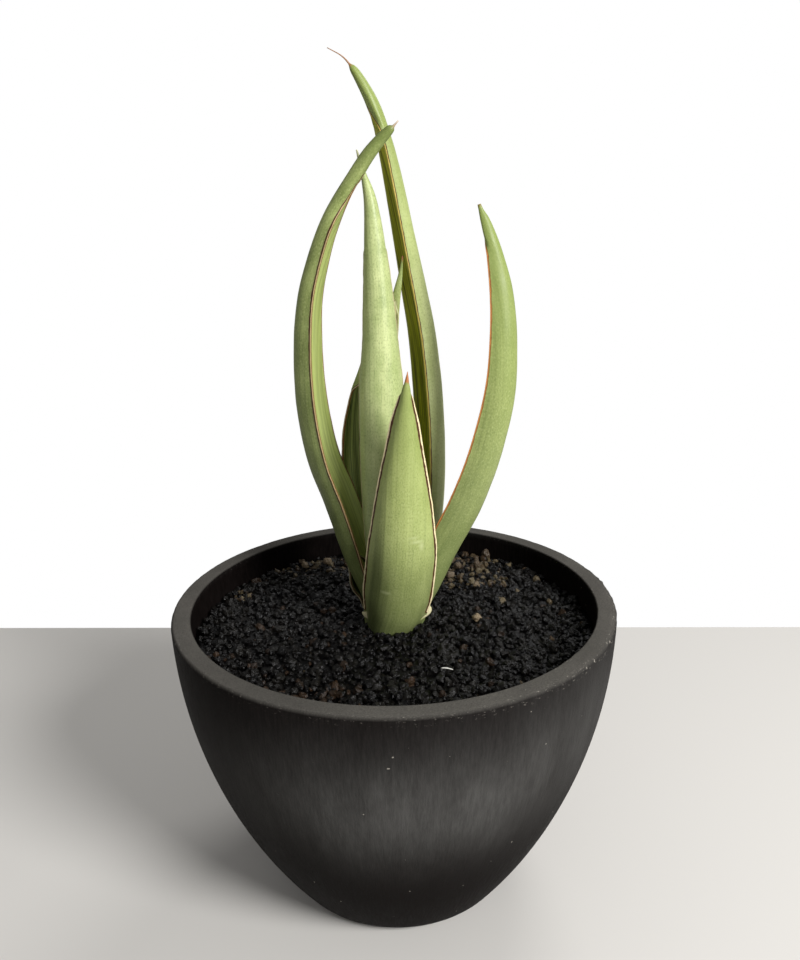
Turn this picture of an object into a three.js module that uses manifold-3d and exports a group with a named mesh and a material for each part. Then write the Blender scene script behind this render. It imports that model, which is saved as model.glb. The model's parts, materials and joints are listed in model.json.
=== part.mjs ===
// A potted snake plant: a rosette of channelled succulent leaves on a short rhizome, in a bowl-shaped
// planter filled with potting mix and dressed with black lava grit.
//
// Millimetres, +Z up. The origin is the centre of the pot's foot, on the surface it stands on. The front
// of the plant, with its short broad leaf, faces -Y.
import * as THREE from "three";
import { mergeVertices } from "three/addons/utils/BufferGeometryUtils.js";
import Module from "manifold-3d";

const wasm = await Module();
wasm.setup();

// ---------------------------------------------------------------- driving dimensions

// Clearance between any two pieces that touch.
const GAP = 0.3;

const pot = {
  rimRadius: 125,
  footRadius: 66,
  height: 175,
  rimWall: 10.5, // wall at the rim
  sideWall: 8, // wall at the foot
  floor: 9,
  rimRounding: 2,
  footRounding: 3,
  footRing: 13, // width of the ring that it stands on
  footRecess: 2.5, // how far the underside is raised inside that ring
  drainRadius: 7,
  bellyLow: 0.36, // how far out and up the side swells above the foot, as shares of the flare and the height
  bellyLowHeight: 0.17,
  bellyHighHeight: 0.53, // the height from which the side rises straight to the rim, as a share
};

const grit = {
  belowRim: 12, // level of the dressing at the plant, under the rim
  depth: 20,
  mound: 3, // how far the dressing falls away from the plant to the wall
  ripple: 0.9, // height of its unevenness
};

const crown = { radius: 15, height: 26, tilt: 9 };

const roots = [
  // plan angle in degrees, reach outwards, depth reached below the crown, radius
  { angle: 15, reach: 48, drop: 42, radius: 2.0 },
  { angle: 75, reach: 40, drop: 62, radius: 1.8 },
  { angle: 140, reach: 52, drop: 38, radius: 2.1 },
  { angle: 200, reach: 36, drop: 66, radius: 1.7 },
  { angle: 265, reach: 50, drop: 46, radius: 2.0 },
  { angle: 320, reach: 42, drop: 58, radius: 1.8 },
];

// How deep the leaf bases go below the surface of the dressing, where they join the crown.
const BURIED = 24;

// Width of the horny edge at each margin of a leaf, where it is widest.
const LIP = 1.3;

// Leaves, from the innermost out. A spine is the line midway between the two margins: x to the right,
// y to the back, z above the dressing. It starts at the crown. facing is the plan angle that the
// channelled upper side looks to, in degrees from +X towards +Y, at the base and at the tip. A section
// row gives, at a share of the spine's length, the width between the margins, the depth of the back
// below them, and the depth of the channel; a negative channel is a full, rounded upper side.
const leaves = [
  {
    name: "leaf_centre",
    facing: [90, 90],
    spine: [
      [-1, -4, -BURIED],
      [-2, -5, 6],
      [-4, -5, 48],
      [-5, -3, 94],
      [-4.5, 0, 127],
      [-4, 2, 159],
      [-5, 5, 199],
      [-7, 7, 229],
      [-10, 8, 241],
      [-14, 10, 253],
    ],
    sections: [
      [0, 17, 8, 2],
      [0.12, 19, 9.5, 4],
      [0.3, 23, 11, 6],
      [0.55, 23.5, 10.5, 6],
      [0.66, 18.5, 8.5, 4.5],
      [0.8, 12.5, 6, 2.5],
      [0.89, 7.2, 4, -1.5],
      [0.945, 3.4, 2, -1.6],
      [0.965, 1.2, 0.6, -0.6],
      [1, 0.7, 0.35, -0.35],
    ],
  },
  {
    name: "leaf_back",
    facing: [262, 262],
    spine: [
      [2, 8, -BURIED],
      [0, 9.5, 20],
      [-2, 11, 78],
      [-2, 12, 124],
      [1, 13, 157],
      [4.5, 13.5, 179],
      [7, 14, 191],
      [8.5, 14, 201],
    ],
    sections: [
      [0, 13, 6, 2],
      [0.25, 14, 7, 4],
      [0.6, 12, 5.5, 3],
      [0.8, 8, 4, 1.5],
      [0.92, 4, 2, -1],
      [1, 1, 0.5, -0.5],
    ],
  },
  {
    name: "leaf_tall",
    facing: [200, 196],
    spine: [
      [8, 2, -BURIED],
      [11, 5, 10],
      [15, 8, 43],
      [17.5, 12, 68],
      [18, 16, 101],
      [17, 18, 124],
      [14.5, 20, 157],
      [11.5, 20, 179],
      [8, 20, 200],
      [3.5, 19, 230],
      [-1, 18, 254],
      [-6, 16, 273],
      [-10, 15, 282],
      [-15, 14, 291],
      [-19.5, 13, 296],
      [-27, 12, 300],
    ],
    sections: [
      [0, 17, 8, 2],
      [0.15, 20.5, 11, 5],
      [0.42, 21, 12, 7],
      [0.58, 18.5, 10.8, 6.5],
      [0.72, 14, 8, 4.5],
      [0.83, 9.5, 5.6, 2.5],
      [0.88, 6.5, 4, -2],
      [0.93, 3, 1.8, -1.4],
      [0.945, 1.6, 1, -0.8],
      [0.955, 0.9, 0.5, -0.5],
      [1, 0.5, 0.25, -0.25],
    ],
  },
  {
    name: "leaf_left",
    facing: [-25, -29],
    spine: [
      [-3, 0, -BURIED],
      [-4.5, 0.5, 0],
      [-8.5, 1, 17],
      [-14, 2, 36],
      [-19, 3, 54],
      [-25, 3.5, 72],
      [-33, 4, 93],
      [-37.6, 5, 115],
      [-39.8, 5, 137],
      [-39.8, 5, 159],
      [-37.8, 5, 180],
      [-32, 4, 200],
      [-24, 2, 220],
      [-14, 0, 239],
      [-7, -2, 250],
      [-1, -4, 257],
      [4, -6, 261.5],
      [7, -7, 264],
    ],
    sections: [
      [0, 15, 7, 3],
      [0.12, 19, 9.2, 4.5],
      [0.175, 20.5, 12, 6],
      [0.21, 21, 14, 7],
      [0.26, 21, 15.2, 7.5],
      [0.47, 19, 13.8, 7],
      [0.61, 16.5, 12.2, 6],
      [0.7, 14, 10.4, 5],
      [0.79, 11.5, 8.4, 3.4],
      [0.86, 8.5, 6.4, 1],
      [0.89, 7, 5.4, -2],
      [0.94, 5.4, 3.6, -2.2],
      [0.97, 3.8, 2.2, -1.7],
      [0.978, 1.6, 0.9, -0.8],
      [1, 0.6, 0.3, -0.3],
    ],
  },
  {
    name: "leaf_right",
    facing: [152, 155],
    spine: [
      [6, -5, -BURIED],
      [9, -6, 6],
      [20.5, -8, 36],
      [29, -10, 55],
      [37, -12, 73],
      [45, -14, 96],
      [50.5, -15, 118],
      [54, -16, 139],
      [55, -16, 159],
      [54.5, -15, 179],
      [52, -14, 199],
      [49, -14, 213],
      [45.5, -14, 225],
    ],
    sections: [
      [0, 17, 9, 2],
      [0.15, 20, 10.5, 5.5],
      [0.4, 21, 12.5, 7],
      [0.6, 21, 12.5, 7],
      [0.72, 19, 11.2, 5.5],
      [0.84, 14.5, 8.8, 3.2],
      [0.89, 11, 6.8, 1],
      [0.925, 8.5, 5.2, -2.4],
      [0.97, 4.6, 2.8, -1.8],
      [1, 1.8, 1, -0.8],
    ],
  },
  {
    name: "leaf_back_left",
    facing: [-72, -70],
    spine: [
      [-5, 9, -BURIED],
      [-8, 12, 10],
      [-13, 15, 40],
      [-18, 17, 68],
      [-19.5, 19, 100],
      [-17.5, 21, 125],
      [-14.5, 22, 140],
      [-12.5, 22, 152],
    ],
    sections: [
      [0, 15, 7, 2],
      [0.25, 19, 9, 5],
      [0.5, 20, 8.5, 6],
      [0.7, 17, 7, 5],
      [0.85, 10, 4.5, 3],
      [0.95, 4, 2, 0.8],
      [1, 1, 0.5, -0.4],
    ],
  },
  {
    name: "leaf_front",
    facing: [90, 90],
    spine: [
      [0, -9, -BURIED],
      [1, -10, -2],
      [3.5, -11, 16],
      [4, -14, 42],
      [5, -19, 66],
      [6, -23, 89],
      [7, -27, 111],
      [7.5, -30, 127],
      [8.5, -33, 141],
      [9, -34, 147],
    ],
    sections: [
      [0, 27, 13, 8],
      [0.13, 32, 13.5, 9.5],
      [0.25, 35.5, 13.5, 10],
      [0.38, 37.5, 14, 10.5],
      [0.52, 32.5, 12.5, 8.5],
      [0.65, 24.5, 9.5, 6],
      [0.78, 16.5, 6.5, 3.5],
      [0.88, 9.5, 4, 1.5],
      [0.955, 3, 1.6, -1],
      [0.965, 2.4, 1.2, -0.8],
      [1, 0.5, 0.3, -0.2],
    ],
  },
  {
    name: "scale_leaf",
    facing: [-25, -25],
    spine: [
      [-3, 0, -20],
      [-4.5, 0.5, 0],
      [-7, 1.5, 12],
      [-17, 5, 28],
      [-28.5, 8.3, 41],
    ],
    sections: [
      [0, 16, 8, 5],
      [0.3, 18.5, 10, 5],
      [0.48, 20.5, 11.2, 5],
      [0.74, 15, 9.6, 3],
      [0.9, 6, 3.6, 1],
      [1, 1, 0.6, -0.4],
    ],
  },
  {
    name: "old_leaf_base",
    facing: [92, 90],
    spine: [
      [0.5, -9, -14],
      [1, -9.5, 0],
      [1, -9.5, 13],
    ],
    sections: [
      [0, 34, 15, 12.8],
      [0.6, 36.5, 15.8, 13.8],
      [1, 38, 16, 14.4],
    ],
    tornTop: { front: -6, ends: 13 }, // heights of its torn edge above the dressing
  },
];

// Stray pale stones lying in the dressing: place in plan, size, and a turn about Z.
const stones = [
  { x: 64, y: 88, size: [6, 5, 8], turn: 20 },
  { x: 56, y: 74, size: [5, 4.5, 4.5], turn: 75 },
  { x: 43, y: 71, size: [5.5, 5, 5], turn: 130 },
  { x: 37, y: 57, size: [6, 4.5, 4.5], turn: 10 },
  { x: 52, y: 38, size: [5.5, 4, 5], turn: 50 },
  { x: -45, y: 84, size: [6, 5, 5.5], turn: 160 },
  { x: -60, y: 80, size: [8, 4, 4], turn: 115 },
  { x: 47, y: -9, size: [5.5, 5, 4.5], turn: 35 },
];

// ---------------------------------------------------------------- tessellation

const TURN_STEPS = 60; // round the pot
const SIDE_STEPS = 10; // up its side
const LEAF_STEP = 13; // along a leaf, at most
const BACK_STEPS = 8; // across the back of a leaf
const CHANNEL_STEPS = 6; // across its channel

// ---------------------------------------------------------------- colours

const matt = (color, roughness) =>
  new THREE.MeshStandardMaterial({ color, roughness, metalness: 0 });
const finish = {
  pot: matt(0x2b2a2b, 0.55),
  grit: matt(0x1d1c1c, 0.95),
  mix: matt(0x2e231b, 1),
  leaf: matt(0x8c9a68, 0.6),
  shaded: matt(0x5d6b3e, 0.6),
  scale: matt(0x6f7450, 0.8),
  rhizome: matt(0xb08b5c, 0.8),
  stone: matt(0x8a7458, 0.9),
};

// ---------------------------------------------------------------- solids

// A closed geometry as a manifold-3d solid.
function solidOf(geometry) {
  const bare = geometry.index ? geometry.toNonIndexed() : geometry.clone();
  bare.deleteAttribute("normal");
  bare.deleteAttribute("uv");
  const merged = mergeVertices(bare, 1e-3);
  return new wasm.Manifold(
    new wasm.Mesh({
      numProp: 3,
      vertProperties: merged.attributes.position.array,
      triVerts: new Uint32Array(merged.index.array),
    }),
  );
}

// The largest body of a solid, as a geometry. A cut can leave crumbs beside it.
function geometryOf(solid) {
  const bodies = solid.decompose().sort((a, b) => b.volume() - a.volume());
  const mesh = bodies[0].getMesh();
  const position = new Float32Array(mesh.numVert * 3);
  for (let i = 0; i < mesh.numVert; i++)
    position.set(mesh.vertProperties.subarray(i * mesh.numProp, i * mesh.numProp + 3), i * 3);
  return new THREE.BufferGeometry()
    .setAttribute("position", new THREE.BufferAttribute(position, 3))
    .setIndex(new THREE.BufferAttribute(mesh.triVerts, 1));
}

// Turns a profile of [radius, height] points about Z. It closes on itself or ends on the axis.
function lathe(profile) {
  const points = profile.map(([radius, height]) => new THREE.Vector2(radius, height));
  return new THREE.LatheGeometry(points, TURN_STEPS).rotateX(Math.PI / 2);
}

const all = (solids) => solids.reduce((sum, solid) => sum.add(solid));

// ---------------------------------------------------------------- pot

// The pot's side, from the foot to the rim.
const side = new THREE.CubicBezierCurve(
  new THREE.Vector2(pot.footRadius, 0),
  new THREE.Vector2(
    pot.footRadius + pot.bellyLow * (pot.rimRadius - pot.footRadius),
    pot.bellyLowHeight * pot.height,
  ),
  new THREE.Vector2(pot.rimRadius, pot.bellyHighHeight * pot.height),
  new THREE.Vector2(pot.rimRadius, pot.height),
);

// The outer radius at a height, by bisection along the side.
function outerRadius(height) {
  let low = 0;
  let high = 1;
  for (let i = 0; i < 30; i++) {
    const middle = (low + high) / 2;
    if (side.getPoint(middle).y < height) low = middle;
    else high = middle;
  }
  return side.getPoint(low).x;
}

// The inner radius at a height: the wall thickens evenly from the foot to the rim.
function innerRadius(height) {
  const share = THREE.MathUtils.clamp(height / pot.height, 0, 1);
  return outerRadius(height) - THREE.MathUtils.lerp(pot.sideWall, pot.rimWall, share);
}

// Points of a quarter round from one angle to another, in degrees.
function arc(centre, radius, from, to, steps = 3) {
  return Array.from({ length: steps + 1 }, (_, i) => {
    const a = THREE.MathUtils.degToRad(from + ((to - from) * i) / steps);
    return [centre[0] + radius * Math.cos(a), centre[1] + radius * Math.sin(a)];
  });
}

const heightsBetween = (low, high, steps) =>
  Array.from({ length: steps + 1 }, (_, i) => low + ((high - low) * i) / steps);

// The inside of the wall from the floor up, as [radius, height], moved in by an inset.
function innerWall(inset = 0) {
  const levels = heightsBetween(pot.floor, pot.height - pot.rimRounding, SIDE_STEPS);
  return [
    [innerRadius(pot.floor) - pot.sideWall / 2 - inset, pot.floor],
    ...levels.slice(1).map((z) => [innerRadius(z) - inset, z]),
  ];
}

function potProfile() {
  const { height, footRounding, rimRounding, footRadius, rimRadius, rimWall } = pot;
  const shoulder = height - rimRounding;
  const ringInner = footRadius - pot.footRing;
  return [
    [pot.drainRadius, pot.footRecess],
    [ringInner - pot.footRecess, pot.footRecess],
    [ringInner, 0],
    ...arc([footRadius - footRounding, footRounding], footRounding, -90, -35),
    ...heightsBetween(2 * footRounding, shoulder, SIDE_STEPS)
      .slice(0, -1)
      .map((z) => [outerRadius(z), z]),
    ...arc([rimRadius - rimRounding, shoulder], rimRounding, 0, 90),
    ...arc([rimRadius - rimWall + rimRounding / 2, height - rimRounding / 2], rimRounding / 2, 90, 180, 2),
    ...innerWall().reverse(),
    [pot.drainRadius, pot.floor],
    [pot.drainRadius, pot.footRecess],
  ];
}

const makePot = () => lathe(potProfile());

// ---------------------------------------------------------------- leaves

const dressingLevel = pot.height - grit.belowRim;

// Reads a column of section rows at a share of the length, with a smooth curve through the rows.
function sectionValue(rows, column, at) {
  const last = rows.length - 1;
  let i = rows.findIndex((row) => row[0] >= at);
  if (i <= 0) return rows[i < 0 ? last : 0][column];
  i -= 1;
  const slope = (k) => {
    if (k <= 0 || k >= last) return 0;
    const before = (rows[k][column] - rows[k - 1][column]) / (rows[k][0] - rows[k - 1][0]);
    const after = (rows[k + 1][column] - rows[k][column]) / (rows[k + 1][0] - rows[k][0]);
    return before * after <= 0 ? 0 : (2 * before * after) / (before + after);
  };
  const span = rows[i + 1][0] - rows[i][0];
  const s = (at - rows[i][0]) / span;
  return (
    (2 * s ** 3 - 3 * s ** 2 + 1) * rows[i][column] +
    (s ** 3 - 2 * s ** 2 + s) * span * slope(i) +
    (3 * s ** 2 - 2 * s ** 3) * rows[i + 1][column] +
    (s ** 3 - s ** 2) * span * slope(i + 1)
  );
}

// A leaf's section: round the back from one margin to the other, and back across the channel.
function leafSection(width, depth, channel) {
  const lip = Math.min(LIP, 0.2 * width);
  const back = Array.from({ length: BACK_STEPS + 1 }, (_, i) => {
    const a = (Math.PI * i) / BACK_STEPS;
    return new THREE.Vector2((-width / 2) * Math.cos(a), -depth * Math.sin(a));
  });
  const front = Array.from({ length: CHANNEL_STEPS + 1 }, (_, i) => {
    const a = Math.PI * (1 - i / CHANNEL_STEPS);
    return new THREE.Vector2((lip - width / 2) * Math.cos(a), -channel * Math.sin(a));
  });
  return [...back, ...front];
}

// Moves each point of a closed section outwards.
function grown(section, by) {
  if (!by) return section;
  const n = section.length;
  return section.map((point, i) => {
    const before = point.clone().sub(section[(i + n - 1) % n]).normalize();
    const after = section[(i + 1) % n].clone().sub(point).normalize();
    const out = new THREE.Vector2(before.y + after.y, -before.x - after.x).normalize();
    return point.clone().addScaledVector(out, by);
  });
}

// Sweeps sections along a line of frames and closes both ends.
function sweep(frames, sections) {
  const position = [];
  const index = [];
  const n = sections[0].length;
  frames.forEach(({ origin, across, up }, i) => {
    for (const p of sections[i]) {
      const v = origin.clone().addScaledVector(across, p.x).addScaledVector(up, p.y);
      position.push(v.x, v.y, v.z);
    }
  });
  for (let i = 0; i + 1 < frames.length; i++)
    for (let j = 0; j < n; j++) {
      const k = (j + 1) % n;
      const [a, b, c, d] = [i * n + j, i * n + k, (i + 1) * n + k, (i + 1) * n + j];
      index.push(a, b, c, a, c, d);
    }
  for (const [ring, facesBack] of [
    [0, true],
    [frames.length - 1, false],
  ])
    for (const [a, b, c] of THREE.ShapeUtils.triangulateShape(sections[ring], [])) {
      const base = ring * n;
      index.push(...(facesBack ? [base + a, base + c, base + b] : [base + a, base + b, base + c]));
    }
  return new THREE.BufferGeometry()
    .setAttribute("position", new THREE.Float32BufferAttribute(position, 3))
    .setIndex(index);
}

// A leaf in the row's frame, grown outwards for the cut that seats it in its neighbours.
function makeLeaf(leaf, grow = 0) {
  const points = leaf.spine.map(([x, y, z]) => new THREE.Vector3(x, y, z + dressingLevel));
  const curve = new THREE.CatmullRomCurve3(points);
  const steps = Math.ceil(curve.getLength() / LEAF_STEP) + leaf.sections.length;
  const frames = [];
  const sections = [];
  for (let i = 0; i <= steps; i++) {
    const at = i / steps;
    const tangent = curve.getTangentAt(at);
    const angle = THREE.MathUtils.degToRad(THREE.MathUtils.lerp(...leaf.facing, at));
    const up = new THREE.Vector3(Math.cos(angle), Math.sin(angle), 0);
    up.addScaledVector(tangent, -up.dot(tangent)).normalize();
    const across = new THREE.Vector3().crossVectors(up, tangent);
    const origin = curve.getPointAt(at);
    if (i === 0) origin.addScaledVector(tangent, -grow);
    if (i === steps) origin.addScaledVector(tangent, grow);
    frames.push({ origin, across, up });
    const size = [1, 2, 3].map((column) => sectionValue(leaf.sections, column, at));
    sections.push(grown(leafSection(...size), grow));
  }
  return sweep(frames, sections);
}

// Takes off what stands above a slope that rises from the front of an old leaf base to its ends.
function tearTop(solid, { front, ends }) {
  const rise = ends - front;
  const reach = 22; // from the plant's middle to the front of the base
  const block = new THREE.BoxGeometry(120, 120, 40)
    .translate(0, 0, 20)
    .applyMatrix4(new THREE.Matrix4().makeRotationX(Math.atan2(rise, reach)))
    .translate(0, -reach, dressingLevel + front);
  return solid.subtract(solidOf(block));
}

// ---------------------------------------------------------------- crown and roots

// The crown: a short upright rhizome, a rounded barrel that narrows to its lower end.
function makeCrown(grow = 0) {
  const { radius, height, tilt } = crown;
  const top = dressingLevel - BURIED - GAP;
  const profile = [
    [0, -height - grow],
    [radius * 0.55 + grow, -height * 0.9 - grow],
    [radius * 0.9 + grow, -height * 0.55],
    [radius + grow, -height * 0.25],
    [radius * 0.9 + grow, grow],
    [0, grow],
  ];
  const points = profile.map(([r, z]) => new THREE.Vector2(r, z));
  return new THREE.LatheGeometry(points, 16)
    .rotateX(Math.PI / 2)
    .rotateZ(THREE.MathUtils.degToRad(tilt))
    .translate(1, 1, top);
}

// A root, from inside the crown outwards and down.
function makeRoot({ angle, reach, drop, radius }, grow = 0) {
  const a = THREE.MathUtils.degToRad(angle);
  const top = dressingLevel - BURIED - crown.height * 0.45;
  const at = (share, fall) =>
    new THREE.Vector3(1 + reach * share * Math.cos(a), 1 + reach * share * Math.sin(a), top - drop * fall);
  const path = new THREE.CatmullRomCurve3([at(0.05, 0), at(0.45, 0.08), at(0.8, 0.45), at(1, 1)]);
  const steps = 9;
  const frames = [];
  const sections = [];
  for (let i = 0; i <= steps; i++) {
    const tangent = path.getTangentAt(i / steps);
    const up = new THREE.Vector3(-Math.sin(a), Math.cos(a), 0);
    const across = new THREE.Vector3().crossVectors(up, tangent);
    frames.push({ origin: path.getPointAt(i / steps), across, up });
    const r = radius * (1 - (0.6 * i) / steps) + grow;
    sections.push(
      Array.from({ length: 6 }, (_, k) => {
        const b = (Math.PI * 2 * k) / 6;
        return new THREE.Vector2(r * Math.cos(b), r * Math.sin(b));
      }),
    );
  }
  return sweep(frames, sections);
}

const makeRhizome = (grow = 0) =>
  all([makeCrown(grow), ...roots.map((root) => makeRoot(root, grow))].map(solidOf));

// ---------------------------------------------------------------- dressing and mix

// Height of the dressing's surface over a point in plan.
function surfaceHeight(x, y) {
  const share = Math.hypot(x, y) / (pot.rimRadius - pot.rimWall);
  const ripple = Math.sin(x / 17 + 0.6) * Math.cos(y / 21) + 0.6 * Math.sin((x + 2 * y) / 31);
  return dressingLevel - grit.mound * share ** 2 + grit.ripple * ripple;
}

// The room inside the pot, clear of its wall and floor.
function room() {
  const wall = innerWall(GAP);
  const top = wall[wall.length - 1][1];
  return solidOf(lathe([[0, pot.floor + GAP], [wall[0][0], pot.floor + GAP], ...wall.slice(1), [0, top]]));
}

// A disc wider than the pot between two heights, with a number of rings in its top face.
function disc(low, high, rings) {
  const rim = pot.rimRadius;
  const top = Array.from({ length: rings }, (_, i) => [rim * (1 - (i + 1) / rings), high]);
  return lathe([[0, low], [rim, low], [rim, high], ...top]);
}

function makeDressing() {
  const geometry = disc(dressingLevel - grit.depth, dressingLevel, 9);
  const position = geometry.attributes.position;
  for (let i = 0; i < position.count; i++) {
    if (position.getZ(i) < dressingLevel - 1e-3) continue;
    position.setZ(i, surfaceHeight(position.getX(i), position.getY(i)));
  }
  return solidOf(geometry).intersect(room());
}

const makeMix = () => solidOf(disc(0, dressingLevel - grit.depth - GAP, 1)).intersect(room());

// ---------------------------------------------------------------- stray stones

// A rough stone that lies half sunk in the dressing.
function makeStone({ x, y, size, turn }, grow = 0) {
  const geometry = mergeVertices(new THREE.IcosahedronGeometry(1, 1).deleteAttribute("normal").deleteAttribute("uv"));
  const position = geometry.attributes.position;
  for (let i = 0; i < position.count; i++) {
    const v = new THREE.Vector3().fromBufferAttribute(position, i);
    const rough = 1 + 0.14 * Math.sin(5 * v.x + 3 * v.y + x) * Math.cos(4 * v.z + y);
    v.multiplyScalar(rough);
    position.setXYZ(i, v.x * (size[0] / 2 + grow), v.y * (size[1] / 2 + grow), v.z * (size[2] / 2 + grow));
  }
  return geometry
    .rotateZ(THREE.MathUtils.degToRad(turn))
    .translate(x, y, surfaceHeight(x, y) + size[2] * 0.2);
}

// ---------------------------------------------------------------- assembly

const root = new THREE.Group();

function place(name, geometry, material) {
  const mesh = new THREE.Mesh(geometry, material);
  mesh.name = name;
  root.add(mesh);
}

place("pot", makePot(), finish.pot);

// Each leaf is seated against the leaves that lie inside it.
const seats = [];
const finishes = { leaf_back_left: finish.shaded, scale_leaf: finish.scale, old_leaf_base: finish.leaf };
for (const leaf of leaves) {
  let solid = solidOf(makeLeaf(leaf));
  if (seats.length) solid = solid.subtract(all(seats));
  if (leaf.tornTop) solid = tearTop(solid, leaf.tornTop);
  seats.push(solidOf(makeLeaf(leaf, GAP)));
  place(leaf.name, geometryOf(solid), finishes[leaf.name] ?? finish.leaf);
}

place("rhizome", geometryOf(makeRhizome().subtract(all(seats))), finish.rhizome);

const buried = all([...seats, makeRhizome(GAP)]);
const sockets = stones.map((stone) => solidOf(makeStone(stone, GAP)));
place("grit_dressing", geometryOf(makeDressing().subtract(buried).subtract(all(sockets))), finish.grit);
place("potting_mix", geometryOf(makeMix().subtract(buried)), finish.mix);
stones.forEach((stone, i) => place(`pale_stone_${i + 1}`, makeStone(stone), finish.stone));

export default root;
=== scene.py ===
"""Looks of a potted snake plant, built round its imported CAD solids. Metres, +Z up, front at -Y."""

import json
import logging
import math
from collections.abc import Sequence
from dataclasses import dataclass, field
from enum import Enum

import bmesh
import bpy
import numpy as np
from mathutils import Matrix, Vector, noise

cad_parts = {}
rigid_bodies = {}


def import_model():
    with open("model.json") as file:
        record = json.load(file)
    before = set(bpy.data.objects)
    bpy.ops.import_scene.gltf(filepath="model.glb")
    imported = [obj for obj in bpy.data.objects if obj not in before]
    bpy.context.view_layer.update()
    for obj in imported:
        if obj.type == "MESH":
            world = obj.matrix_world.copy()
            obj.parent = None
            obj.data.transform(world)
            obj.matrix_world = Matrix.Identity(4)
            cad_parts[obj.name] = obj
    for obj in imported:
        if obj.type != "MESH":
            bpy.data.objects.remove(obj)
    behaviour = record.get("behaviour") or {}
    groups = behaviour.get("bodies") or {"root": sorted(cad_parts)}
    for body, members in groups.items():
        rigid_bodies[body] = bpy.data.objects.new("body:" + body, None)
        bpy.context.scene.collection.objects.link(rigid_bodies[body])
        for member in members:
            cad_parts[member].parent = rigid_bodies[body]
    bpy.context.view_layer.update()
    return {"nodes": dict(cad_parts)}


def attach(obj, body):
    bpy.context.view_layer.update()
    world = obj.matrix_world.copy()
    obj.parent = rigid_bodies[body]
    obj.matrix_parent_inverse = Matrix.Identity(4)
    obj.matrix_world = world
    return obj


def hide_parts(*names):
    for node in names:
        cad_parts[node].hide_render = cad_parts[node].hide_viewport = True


log = logging.getLogger("snake plant")
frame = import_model()

MM = 0.001
Point = tuple[float, float, float]
Sockets = dict[str | int, object]

# Level of the grit dressing at the plant, in millimetres above the ground.
DRESSING = 163.0


class Slot(Enum):
    """The record's material slots. A leaf keeps one, but nothing here reads it."""

    POT = "pot"
    LEAF = "leaf"
    SHEATH = "dry_sheath"
    GRIT = "lava_grit"
    PUMICE = "pumice"


class Shade(Enum):
    """How much painted shade darkens a leaf's channel: a little when sunlit, much when shaded."""

    SUNLIT = "sunlit"
    SHADED = "shaded"


# ---------------------------------------------------------------- shared helpers


def linear(code: str) -> tuple[float, float, float, float]:
    """Turns an sRGB hex colour to linear RGBA.

    Args:
        code: a colour such as "#8f9a58".

    Returns:
        Linear red, green, blue and an alpha of 1.
    """
    parts = (int(code[i : i + 2], 16) / 255 for i in (1, 3, 5))
    flat = (c / 12.92 if c <= 0.04045 else ((c + 0.055) / 1.055) ** 2.4 for c in parts)
    return (*flat, 1.0)


def feed(tree: bpy.types.NodeTree, node: bpy.types.Node, inputs: Sockets) -> None:
    """Sets or links a node's inputs.

    Args:
        tree: the tree that holds the node.
        node: the node.
        inputs: for a socket's name or number, a value or the socket that feeds it.
    """
    for key, value in inputs.items():
        if isinstance(value, bpy.types.NodeSocket):
            tree.links.new(value, node.inputs[key])
        else:
            node.inputs[key].default_value = value


def add(
    tree: bpy.types.NodeTree,
    kind: str,
    inputs: Sockets | None = None,
    stops: Sequence | None = None,
    **settings: object,
) -> bpy.types.Node:
    """Adds a node with its settings and links.

    Args:
        tree: the tree that takes the node.
        kind: the node's type.
        inputs: for a socket's name or number, a value or the socket that feeds it.
        stops: for a colour ramp, its positions with linear RGBA colours.
        settings: the node's own properties.

    Returns:
        The new node.
    """
    made = tree.nodes.new(kind)
    for name, value in settings.items():
        setattr(made, name, value)
    feed(tree, made, inputs or {})
    if stops:
        ramp = made.color_ramp
        while len(ramp.elements) < len(stops):
            ramp.elements.new(1.0)
        for element, (position, colour) in zip(ramp.elements, stops):
            element.position = position
            element.color = colour
    return made


def piece(name: str, mesh: bpy.types.Mesh, replaces: Sequence[str] = ()) -> None:
    """Puts a finished mesh in the scene as a piece of the object.

    Args:
        name: the piece's name.
        mesh: its mesh, with its place in its vertices.
        replaces: the CAD nodes that it stands for.
    """
    made = bpy.data.objects.new(name, mesh)
    bpy.context.scene.collection.objects.link(made)
    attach(made, "root")
    if replaces:
        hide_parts(*replaces)
    log.info("%s: %d faces", name, len(mesh.polygons))


def smooth(mesh: bpy.types.Mesh) -> None:
    """Shades every face of a mesh smooth."""
    mesh.polygons.foreach_set("use_smooth", np.ones(len(mesh.polygons), bool))


def store(mesh: bpy.types.Mesh, name: str, values: np.ndarray) -> None:
    """Stores a value or a vector for each vertex of a mesh.

    Args:
        mesh: the mesh.
        name: the attribute's name, which a material reads.
        values: one number or three for each vertex.
    """
    vector = values.ndim == 2
    made = mesh.attributes.new(name, "FLOAT_VECTOR" if vector else "FLOAT", "POINT")
    made.data.foreach_set("vector" if vector else "value", values.astype(np.float32).ravel())


def loft(rings: np.ndarray, name: str) -> bpy.types.Mesh:
    """Joins rings of points to a closed mesh with flat ends.

    Args:
        rings: an array of rings, of points, of x, y and z in millimetres.
        name: the mesh's name.

    Returns:
        The mesh, in metres.
    """
    count, around = rings.shape[:2]
    at = np.arange(count - 1)[:, None] * around + np.arange(around)[None, :]
    after = np.arange(count - 1)[:, None] * around + (np.arange(around)[None, :] + 1) % around
    quads = np.stack([at, after, after + around, at + around], -1).reshape(-1, 4)
    ends = [list(range(around))[::-1], list(range((count - 1) * around, count * around))]
    mesh = bpy.data.meshes.new(name)
    mesh.from_pydata((rings.reshape(-1, 3) * MM).tolist(), [], quads.tolist() + ends)
    smooth(mesh)
    return mesh


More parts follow.
